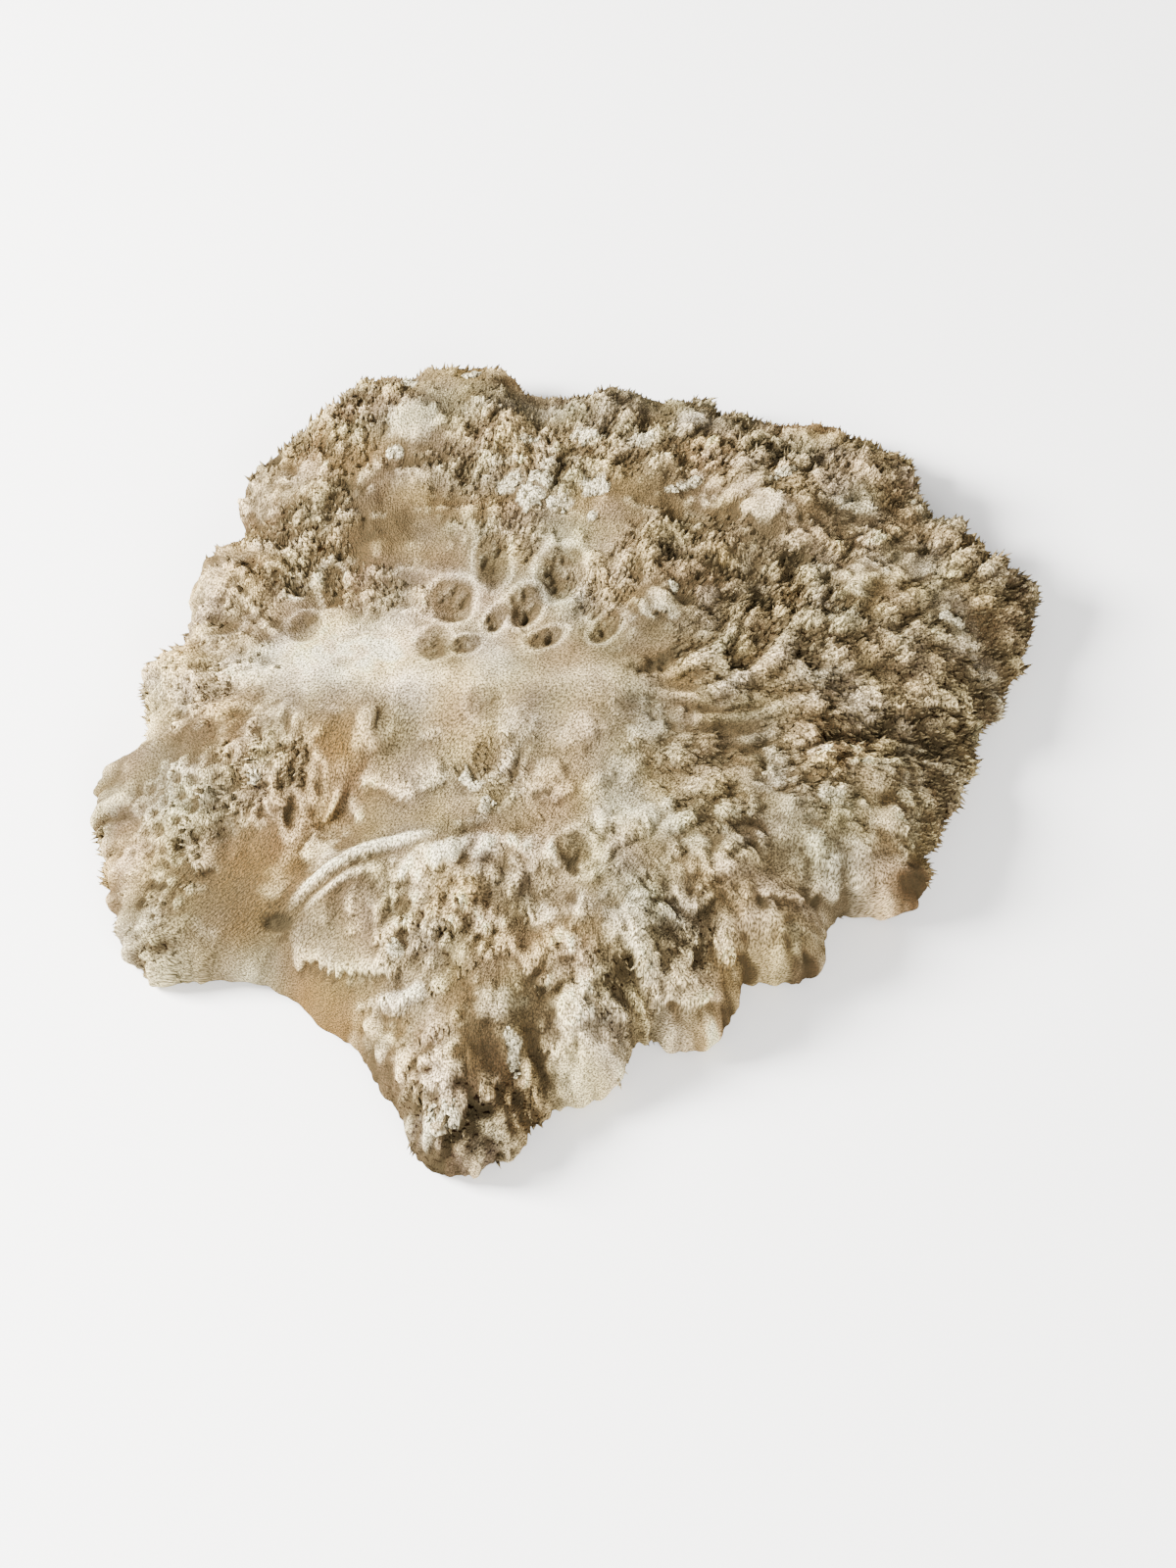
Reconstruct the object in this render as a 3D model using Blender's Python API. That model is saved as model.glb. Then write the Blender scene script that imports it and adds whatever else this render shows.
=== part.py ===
"""A mallee burl cap: the outside slice of a eucalyptus burl, sawn flat underneath.

One solid piece of wood. Its underside is the flat saw cut, and everything else is the burl's
own outer surface with the bark off: a lobed dome with crests, furrows, ring-shaped eyes and a
cover of short wood prickles that lean outwards. Lists are in millimetres, +Z is up, and the
sawn face lies on Z = 0.
"""

import math

import bpy
import numpy as np

MM = 0.001

# Driving dimensions, in millimetres
CROWN_HEIGHT = 64.0  # plain dome at its highest, before the crests are added
CROWN_PLACE = (-34.0, 0.0)  # where that highest place is
CROWN_SPREAD = (280.0, 250.0)  # how slowly the dome falls away to the sides, and front to back
WIDEST_HEIGHT = 8.0  # height of the cap's widest line over the sawn face
UNDERCUT = 4.0  # how far the sawn face stays inside the widest line
PRICKLE_HEIGHT = 4.0  # tallest prickle over the skin around it
PRICKLE_LEAN = 0.7  # share of its height that a prickle leans outwards
RAGGED_EDGE = 1.3  # how far the edge wanders in and out between the outline's points

# Faces along each side of the grid that is wrapped over the cap
GRID_FACES = 76
SKIRT_SHARE = 2 / 38  # outer share of the grid that runs from the widest line down to the cut
GATHER_PLACE = (-0.14, 0.2)  # the eye cluster's place on a grid that runs from -1 to 1
GATHER_WIDTH = 0.45  # how far round it the grid's points are drawn in
GATHER_PULL = 0.5  # share of the way they are drawn in
SEED = 20

# The widest line, seen from above: lobes and the notches between them, clockwise from the left
OUTLINE = [
    (-193, -15), (-191, -5), (-173, 4), (-173, 15), (-176, 29), (-169, 40), (-159, 55),
    (-159, 71), (-153, 90), (-139, 102), (-138, 119), (-130, 136), (-114, 156), (-94, 175),
    (-73, 182), (-50, 185), (-28, 181), (-18, 170), (1, 170), (20, 175), (36, 167), (49, 170),
    (70, 161), (88, 157), (109, 156), (125, 147), (139, 138), (143, 127), (142, 115),
    (153, 113), (170, 97), (168, 86), (180, 84), (189, 72), (182, 57), (178, 38), (169, 24),
    (163, 12), (165, 6), (151, -5), (152, -14), (143, -30), (141, -41), (138, -46), (140, -57),
    (124, -69), (110, -66), (97, -78), (95, -92), (91, -98), (75, -94), (65, -101),
    (62, -114), (41, -125), (27, -120), (22, -126), (16, -139), (6, -147), (-12, -153),
    (-22, -168), (-39, -173), (-47, -178), (-60, -172), (-67, -154), (-80, -140), (-84, -128),
    (-99, -117), (-109, -106), (-121, -100), (-125, -97), (-149, -97), (-169, -93),
    (-182, -75), (-189, -44),
]

# Long swellings of the skin: start, end, half width, height
CRESTS = [
    ((-110, 4), (6, 0), 24, 11),
    ((6, 0), (115, 12), 34, 5),
    ((-109, -82), (-86, -71), 9, 9),
    ((-86, -71), (-51, -65), 12, 11),
    ((-51, -65), (-9, -62), 18, 9),
    ((-177, -44), (-114, -29), 26, 8),
    ((-39, -122), (-54, -168), 19, 9),
    ((14, -90), (50, -124), 17, 9),
    ((55, -72), (93, -100), 15, 9),
    ((90, -57), (135, -68), 14, 8),
    ((103, -29), (150, -20), 14, 6),
    ((69, 70), (128, 124), 18, 5),
    ((92, 35), (176, 74), 20, 6),
]

# Round knobs: place, half width, height
KNOBS = [
    ((6, -140), 15, 10), ((41, 39), 22, 9), ((78, 93), 15, 7), ((113, 68), 16, 6),
    ((-72, 153), 19, 9), ((-35, 154), 13, 7), ((14, 150), 16, 8), ((43, 142), 13, 7),
    ((67, 121), 14, 7), ((108, 137), 17, 7), ((135, 123), 14, 5), ((-116, 122), 20, 9),
    ((-143, 71), 20, 8), ((-156, 21), 18, 7), ((156, 89), 15, 6), ((-165, -80), 17, 5),
    ((-30, 89), 13, 5), ((-132, 25), 13, 4), ((60, -46), 16, 5), ((91, -46), 14, 5),
    ((33, -68), 15, 5), ((-58, -152), 13, 4), ((2, -106), 15, 4), ((29, -98), 14, 4),
    ((56, -23), 14, 4), ((-10, 127), 13, 5), ((26, 103), 14, 5), ((94, 96), 13, 4),
]

# Furrows between the lobes: start, end, half width, depth
FURROWS = [
    ((-75, -20), (-96, -46), 10, 9),
    ((-96, -46), (-116, -82), 11, 12),
    ((123, -4), (165, 7), 15, 13),
    ((-15, -127), (-26, -158), 10, 12),
    ((-75, 108), (-46, 111), 18, 8),
    ((-110, 79), (-97, 54), 17, 8),
    ((36, -83), (54, -113), 8, 10),
    ((81, -67), (103, -82), 7, 9),
    ((-51, -35), (21, -39), 16, 5),
    ((69, 51), (81, 43), 11, 8),
    ((-18, 168), (-14, 134), 8, 9),
    ((-9, -79), (-32, -98), 9, 6),
]

# Eyes, the ring-shaped hollows: place, half sizes, turn in degrees, depth
EYES = [
    ((-49, 41), (10, 11), 0, 6.0), ((-31, 60), (7.5, 11), 0, 5.0), ((-7, 53), (9, 11), 0, 6.0),
    ((-19, 35), (8, 9), 0, 5.5), ((-32, 29), (6, 8), -25, 4.5),
    ((-56, 20), (8, 8), 0, 4.5), ((-42, 15), (9, 6), 28, 4.5), ((-10, 22), (10, 6), 32, 4.5),
    ((11, 25), (7, 12), -32, 5.0), ((-35, -13), (9, 6), 0, 3.0),
    ((-96, 52), (6.5, 12), 10, 6.5), ((-113, 57), (6.5, 12), 18, 6.0), ((-109, 33), (9, 7), 0, 5.0),
    ((-75, -19), (7, 7), 0, 6.0), ((-115, -82), (7, 6), 0, 6.0),
]

# Smooth stretches of skin with few prickles: place, half width
CALM = [
    ((-86, 4), 34), ((-17, -1), 34), ((-145, -77), 26), ((-125, -63), 22), ((-86, -73), 20),
    ((-51, -67), 22), ((6, -140), 15), ((-101, -108), 14), ((44, -10), 26), ((140, 1), 18),
    ((-33, 36), 30), ((-70, -57), 22), ((83, -99), 12),
]


def clear_scene():
    for old in list(bpy.data.objects):
        bpy.data.objects.remove(old)


def smooth_loop(points, per_span=12):
    """A closed Catmull-Rom curve through the points."""
    knots = np.array(points, float)
    before, after, later = (np.roll(knots, turn, axis=0) for turn in (1, -1, -2))
    steps = []
    for t in np.arange(per_span) / per_span:
        steps.append(
            0.5 * (2 * knots + (after - before) * t
                   + (2 * before - 5 * knots + 4 * after - later) * t * t
                   + (3 * knots - before - 3 * after + later) * t * t * t)
        )
    return np.stack(steps, axis=1).reshape(-1, 2)


def outline_reach(angle):
    """Distance from the middle to the widest line, in each direction."""
    loop = smooth_loop(OUTLINE)
    turn = np.arctan2(loop[:, 1], loop[:, 0])
    order = np.argsort(turn)
    reach = np.interp(angle, turn[order], np.hypot(*loop[order].T), period=2 * math.pi)
    ragged = sum(np.sin(waves * angle + waves) for waves in (37, 61, 83, 109)) / 4
    return reach + RAGGED_EDGE * ragged


def along_line(x, y, start, end):
    """Squared distance to the nearest point of the straight line from start to end."""
    (x0, y0), (x1, y1) = start, end
    run = (x1 - x0) ** 2 + (y1 - y0) ** 2
    t = np.clip(((x - x0) * (x1 - x0) + (y - y0) * (y1 - y0)) / run, 0, 1)
    return (x - x0 - t * (x1 - x0)) ** 2 + (y - y0 - t * (y1 - y0)) ** 2


def crown(x, y):
    """Height of the smooth form: the dome with its crests, knobs and furrows."""
    (cx, cy), (wide, deep) = CROWN_PLACE, CROWN_SPREAD
    height = CROWN_HEIGHT * np.exp(-(((x - cx) / wide) ** 2) - ((y - cy) / deep) ** 2)
    for start, end, width, rise in CRESTS:
        height += rise * np.exp(-along_line(x, y, start, end) / width**2)
    for (kx, ky), width, rise in KNOBS:
        height += rise * np.exp(-((x - kx) ** 2 + (y - ky) ** 2) / width**2)
    for start, end, width, depth in FURROWS:
        height -= depth * np.exp(-along_line(x, y, start, end) / width**2)
    return height


def eye_relief(x, y):
    """Each eye is a basin with a low rim round it."""
    relief = np.zeros_like(x)
    for (ex, ey), (long, short), turn, depth in EYES:
        c, s = math.cos(math.radians(turn)), math.sin(math.radians(turn))
        u, v = (x - ex) * c + (y - ey) * s, (y - ey) * c - (x - ex) * s
        out = np.hypot(u / long, v / short)
        relief -= depth * np.clip(1 - out**2, 0, 1) ** 1.5
        relief += 0.35 * depth * np.exp(-(((out - 1.2) / 0.3) ** 2))
    return relief


def prickliness(x, y):
    """1 where prickles stand at full height, near 0 on the calm stretches."""
    rough = np.ones_like(x)
    for (qx, qy), width in CALM:
        rough *= 1 - 0.9 * np.exp(-((x - qx) ** 2 + (y - qy) ** 2) / width**2)
    return rough


def edge_sharpness(angle):
    """How square the dome's shoulder is: rounder on the low left lobe, fuller at the back and right."""
    return 6.0 + 2.6 * np.cos(angle - math.radians(40))


def ring_profile(ring, angle):
    """Share of the outline's reach, and share of the dome's height, at each ring of the grid."""
    fine = np.sin(np.linspace(0, math.pi / 2, 400))
    drop = np.sqrt(1 - fine**6)
    typical_reach, typical_rise = 180.0, 46.0
    step = np.hypot(np.diff(fine) * typical_reach, np.diff(drop) * typical_rise)
    travelled = np.concatenate([[0], np.cumsum(step)]) / step.sum()
    on_dome = np.clip(ring / (1 - SKIRT_SHARE), 0, 1)
    share = np.interp(on_dome, travelled, fine)
    rise = np.clip(1 - share ** edge_sharpness(angle), 0, 1) ** 0.5
    below = np.clip((ring - 1 + SKIRT_SHARE) / SKIRT_SHARE, 0, 1)
    return share, rise, below


def gather_in(a, b):
    """Grid places drawn in towards the eye cluster, where the relief is finest."""
    to_a, to_b = GATHER_PLACE[0] - a, GATHER_PLACE[1] - b
    ring = np.maximum(np.abs(a), np.abs(b))
    pull = GATHER_PULL * np.exp(-(to_a**2 + to_b**2) / GATHER_WIDTH**2) * (1 - ring**4)
    return a + pull * to_a, b + pull * to_b


def wrap_over_cap(a, b):
    """Points of the bare form for grid places a, b from -1 to 1: x, y, z, each in millimetres."""
    ring = np.maximum(np.abs(a), np.abs(b))
    sideways = np.abs(a) > np.abs(b)
    first, second = np.where(sideways, a, b), np.where(sideways, b, a)
    swing = math.pi / 4 * second / np.where(first == 0, 1, first)
    angle = np.where(sideways, swing, math.pi / 2 - swing) + np.where(first < 0, math.pi, 0)
    share, rise, below = ring_profile(ring, angle)
    reach = outline_reach(angle) * share - UNDERCUT * below**2
    x, y = reach * np.cos(angle), reach * np.sin(angle)
    z = WIDEST_HEIGHT + rise * (crown(x, y) - WIDEST_HEIGHT)
    return x, y, z - WIDEST_HEIGHT * below


def surface_normals(points, side):
    """Outward normals of a wrapped grid with side points along each edge."""
    grid = points.reshape(side, side, 3)
    normal = np.cross(np.gradient(grid, axis=1), np.gradient(grid, axis=0)).reshape(-1, 3)
    return normal / np.maximum(np.linalg.norm(normal, axis=1, keepdims=True), 1e-9)


def roughen(points, normals, ring):
    """The points with eyes sunk in and prickles raised, each prickle leaning away from the crown."""
    x, y = points[:, 0], points[:, 1]
    above_cut = np.clip((1 - ring) / SKIRT_SHARE, 0, 1)
    draw = np.random.default_rng(SEED).random(len(points))
    prickle = PRICKLE_HEIGHT * draw**2 * prickliness(x, y)
    relief = (eye_relief(x, y) + prickle) * above_cut
    outwards = points - [*CROWN_PLACE, 0]
    outwards[:, 2] = 0
    outwards /= np.maximum(np.linalg.norm(outwards, axis=1, keepdims=True), 1)
    lean = outwards * (PRICKLE_LEAN * prickle * above_cut * (above_cut > 0.99))[:, None]
    return points + normals * relief[:, None] + lean


def make_burl():
    """The cap: a flat grid wrapped over the form, closed underneath by the flat sawn face."""
    bpy.ops.mesh.primitive_grid_add(x_subdivisions=GRID_FACES, y_subdivisions=GRID_FACES, size=2)
    burl = bpy.context.object
    burl.name = burl.data.name = "burl_cap"
    count = len(burl.data.vertices)
    flat = np.empty(count * 3)
    burl.data.vertices.foreach_get("co", flat)
    a, b = gather_in(flat.reshape(-1, 3)[:, 0], flat.reshape(-1, 3)[:, 1])
    bare = np.stack(wrap_over_cap(a, b), axis=1)
    normals = surface_normals(bare, GRID_FACES + 1)
    points = roughen(bare, normals, np.maximum(np.abs(a), np.abs(b)))
    middle = (points.min(axis=0) + points.max(axis=0)) / 2
    points -= [middle[0], middle[1], 0]
    burl.data.vertices.foreach_set("co", (points * MM).ravel())

    bpy.ops.object.mode_set(mode="EDIT")
    bpy.ops.mesh.select_mode(type="EDGE")
    bpy.ops.mesh.select_all(action="DESELECT")
    bpy.ops.mesh.select_non_manifold()
    bpy.ops.mesh.edge_face_add()
    bpy.ops.mesh.select_all(action="SELECT")
    bpy.ops.mesh.normals_make_consistent(inside=False)
    bpy.ops.object.mode_set(mode="OBJECT")
    burl.data.shade_smooth()
    burl.data.set_sharp_from_angle(angle=math.radians(50))
    return burl


def weathered_wood():
    """Pale grey-tan wood, bleached and dull."""
    material = bpy.data.materials.new("weathered_wood")
    material.use_nodes = True
    shader = material.node_tree.nodes["Principled BSDF"]
    shader.inputs["Base Color"].default_value = (0.46, 0.37, 0.25, 1)
    shader.inputs["Roughness"].default_value = 0.85
    shader.inputs["Metallic"].default_value = 0.0
    return material


def main():
    clear_scene()
    burl = make_burl()
    burl.data.materials.append(weathered_wood())
    cap = bpy.data.collections.new("mallee_burl_cap")
    bpy.context.scene.collection.children.link(cap)
    for home in list(burl.users_collection):
        home.objects.unlink(burl)
    cap.objects.link(burl)


main()
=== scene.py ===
import math

import bpy
import numpy as np
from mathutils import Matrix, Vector


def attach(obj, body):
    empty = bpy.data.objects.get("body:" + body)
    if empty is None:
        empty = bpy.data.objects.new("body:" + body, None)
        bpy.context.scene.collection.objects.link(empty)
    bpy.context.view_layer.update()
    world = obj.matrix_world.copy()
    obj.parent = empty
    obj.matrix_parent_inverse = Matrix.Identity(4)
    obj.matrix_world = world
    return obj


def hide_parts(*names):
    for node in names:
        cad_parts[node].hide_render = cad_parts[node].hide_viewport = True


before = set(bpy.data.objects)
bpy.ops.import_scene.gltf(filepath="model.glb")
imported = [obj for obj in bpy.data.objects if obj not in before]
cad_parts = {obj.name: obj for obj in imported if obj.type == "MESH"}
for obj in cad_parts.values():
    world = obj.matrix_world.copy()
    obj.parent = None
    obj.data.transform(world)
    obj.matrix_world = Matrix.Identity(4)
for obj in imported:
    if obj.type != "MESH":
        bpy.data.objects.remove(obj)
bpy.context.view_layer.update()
print("frame loaded")

mm = 0.001

# The relief is drawn on a square sheet over the cap, seen from above, in millimetres.
sheet = {"half": 212.0, "cell": 0.5, "seed": 7}
sheetCells = int(2 * sheet["half"] / sheet["cell"])
sheetLine = (np.arange(sheetCells) + 0.5) * sheet["cell"] - sheet["half"]
sheetX, sheetY = np.meshgrid(sheetLine, sheetLine)


def softNoise(size, seed):  # random hills about size mm across, from about -1 to 1
    knots = int(2 * sheet["half"] / size) + 5
    values = np.random.default_rng(sheet["seed"] * 1000 + seed).uniform(-1, 1, (knots, knots))
    place = (sheetLine + sheet["half"]) / size + 1
    left = np.floor(place).astype(int)
    t = place - left
    share = np.zeros((sheetCells, knots))
    row = np.arange(sheetCells)
    share[row, left - 1] = (1 - t) ** 3 / 6
    share[row, left] = (3 * t**3 - 6 * t**2 + 4) / 6
    share[row, left + 1] = (-3 * t**3 + 3 * t**2 + 3 * t + 1) / 6
    share[row, left + 2] = t**3 / 6
    return evened(share @ values @ share.T)


def evened(field):  # the field with no mean and a spread of 1
    return (field - field.mean()) / field.std()


def blurred(field, radius):
    down = np.fft.fftfreq(sheetCells, sheet["cell"])[:, None]
    along = np.fft.rfftfreq(sheetCells, sheet["cell"])[None]
    fall = np.exp(-2 * (math.pi * radius) ** 2 * (down**2 + along**2))
    return np.fft.irfft2(np.fft.rfft2(field) * fall, s=field.shape)


def readSheet(field, x, y):  # the field's value at places between its cells
    u = np.clip((x + sheet["half"]) / sheet["cell"] - 0.5, 0, sheetCells - 1.001)
    v = np.clip((y + sheet["half"]) / sheet["cell"] - 0.5, 0, sheetCells - 1.001)
    left, low = u.astype(int), v.astype(int)
    s, t = u - left, v - low
    under = field[low, left] * (1 - s) + field[low, left + 1] * s
    over = field[low + 1, left] * (1 - s) + field[low + 1, left + 1] * s
    return under * (1 - t) + over * t


def eased(field, low, high):  # 0 below low, 1 above high, smooth between
    t = np.clip((field - low) / (high - low), 0, 1)
    return t * t * (3 - 2 * t)


# Which way the fibres run and which way the prickles point: place, then both angles in degrees.
growth = [
    (-181, 31, 165, 180), (-168, 78, 140, 150), (-141, 82, 125, 130), (-118, 115, 80, 100),
    (-82, 143, 85, 88), (-41, 153, 86, 86), (-9, 176, 80, 80), (29, 152, 72, 72),
    (70, 142, 62, 62), (110, 130, 55, 55), (151, 104, 48, 48), (181, 66, 38, 38),
    (-93, 102, 80, 85), (-72, 78, 118, 95), (-111, 56, 100, 110), (-95, 52, 95, 95),
    (-124, 34, 130, 140), (-152, 45, 150, 150), (-52, 100, 78, 80), (-8, 95, 78, 78),
    (16, 66, 70, 70), (48, 77, 60, 60), (88, 97, 54, 54), (128, 75, 46, 46), (159, 41, 36, 38),
    (-47, 46, 60, 80), (-16, 43, 65, 70), (16, 21, 50, 55), (47, 43, 62, 58), (71, 27, 58, 50),
    (95, 40, 46, 45), (126, 28, 38, 36), (-96, 1, 10, 200), (-50, -3, 10, 20), (8, -5, 12, 15),
    (54, -7, 18, 15), (93, -4, 20, 15), (126, 2, 20, 10), (159, 18, 20, 10),
    (-73, -20, 60, -80), (-57, -42, 50, -85), (-23, -42, 45, -70), (8, -43, 38, -50),
    (46, -43, 35, -25), (85, -41, 28, -12), (124, -31, 22, -5), (155, -13, 20, 0),
    (-37, -77, 35, -80), (0, -75, 40, -70), (31, -69, 35, -60), (61, -72, 45, -40),
    (96, -69, 35, -20), (123, -66, 32, -10), (136, -68, 30, -25), (-56, -94, 60, -100),
    (-22, -95, 58, -90), (8, -105, 55, -75), (38, -106, 58, -60), (61, -102, 60, -60),
    (96, -93, 45, -50), (-76, -110, 65, -100), (-45, -126, 60, -95), (-15, -124, 62, -85),
    (16, -126, 70, -75), (46, -126, 55, -60), (-68, -139, 75, -110), (-41, -152, 75, -95),
    (-15, -149, 80, -80), (12, -148, 95, -80), (-45, -176, 85, -95), (-22, -171, 70, -70),
    (-99, -113, 40, -110), (-92, -124, 30, -120), (-107, -87, 50, -120), (-87, -81, 28, -100),
    (-130, -77, 40, -140), (-134, -95, 30, -120), (-165, -93, 10, -160), (-183, -64, 0, 180),
    (-189, -33, 170, 180), (-163, -32, 120, 170), (-138, -39, 95, -170), (-111, -43, 88, -150),
    (-100, -49, 80, -120), (-126, -59, 70, -150), (-158, -55, 60, 180), (-128, -7, 160, 190),
]


growthBlend = {"soft": 10, "sway": 0.16, "swaySize": 28, "ripple": 0.12, "rippleSize": 9}


def growthFields():  # the grain's and the tips' directions over the sheet, as complex numbers
    fibreSum, tipSum = 0, 0
    for x, y, fibreTurn, tipTurn in growth:
        pull = ((sheetX - x) ** 2 + (sheetY - y) ** 2 + growthBlend["soft"] ** 2) ** -2
        fibreSum = fibreSum + pull * np.exp(2j * math.radians(fibreTurn))
        tipSum = tipSum + pull * np.exp(1j * math.radians(tipTurn))
    sway = growthBlend["sway"] * softNoise(growthBlend["swaySize"], 1)
    sway = sway + growthBlend["ripple"] * softNoise(growthBlend["rippleSize"], 2)
    turned = np.exp(1j * sway)
    return np.exp(0.5j * np.angle(fibreSum)) * turned, np.exp(1j * np.angle(tipSum)) * turned


grain, tips = growthFields()
print("grain laid out")


def combed(field, reach, steps=8):  # the field smeared along the grain
    total = field.copy()
    for step in range(1, steps + 1):
        way = grain * (reach * step / steps)
        total += readSheet(field, sheetX + way.real, sheetY + way.imag)
        total += readSheet(field, sheetX - way.real, sheetY - way.imag)
    return evened(total)


def patchAround(points, reach):  # the part of the sheet that lies within reach of the points
    p = np.array(points, float)
    (left, low), (right, high) = p.min(axis=0) - reach, p.max(axis=0) + reach
    first, last = np.searchsorted(sheetLine, (left, right))
    bottom, top = np.searchsorted(sheetLine, (low, high))
    return np.s_[bottom:top, first:last]


def ovalDistance(patch, x, y, long, short, turn):  # 0 in the middle of the oval, 1 on its edge
    c, s = math.cos(math.radians(turn)), math.sin(math.radians(turn))
    dx, dy = sheetX[patch] - x, sheetY[patch] - y
    return np.hypot((dx * c + dy * s) / long, (dy * c - dx * s) / short)


def lineDistance(patch, points):  # distance to a bent line, side of it, and length along it
    near = np.full(sheetX[patch].shape, 1e9)
    side, along, gone = np.zeros_like(near), np.zeros_like(near), 0.0
    for (x0, y0), (x1, y1) in zip(points, points[1:]):
        run = math.hypot(x1 - x0, y1 - y0)
        tx, ty = (x1 - x0) / run, (y1 - y0) / run
        t = np.clip((sheetX[patch] - x0) * tx + (sheetY[patch] - y0) * ty, 0, run)
        dx, dy = sheetX[patch] - x0 - t * tx, sheetY[patch] - y0 - t * ty
        far = np.hypot(dx, dy)
        nearer = far < near
        near = np.where(nearer, far, near)
        side = np.where(nearer, np.sign(tx * dy - ty * dx), side)
        along = np.where(nearer, gone + t, along)
        gone += run
    return near, side, along, gone


def smoothPath(points, per=6):  # a Catmull-Rom curve through the points
    p = np.array([points[0], *points, points[-1]], float)
    out = []
    for a, b, c, d in zip(p, p[1:], p[2:], p[3:]):
        for t in np.arange(per) / per:
            out.append(0.5 * (2 * b + (c - a) * t + (2 * a - 5 * b + 4 * c - d) * t**2
                              + (3 * b - a - 3 * c + d) * t**3))
    return [tuple(q) for q in out] + [tuple(points[-1])]


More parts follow.
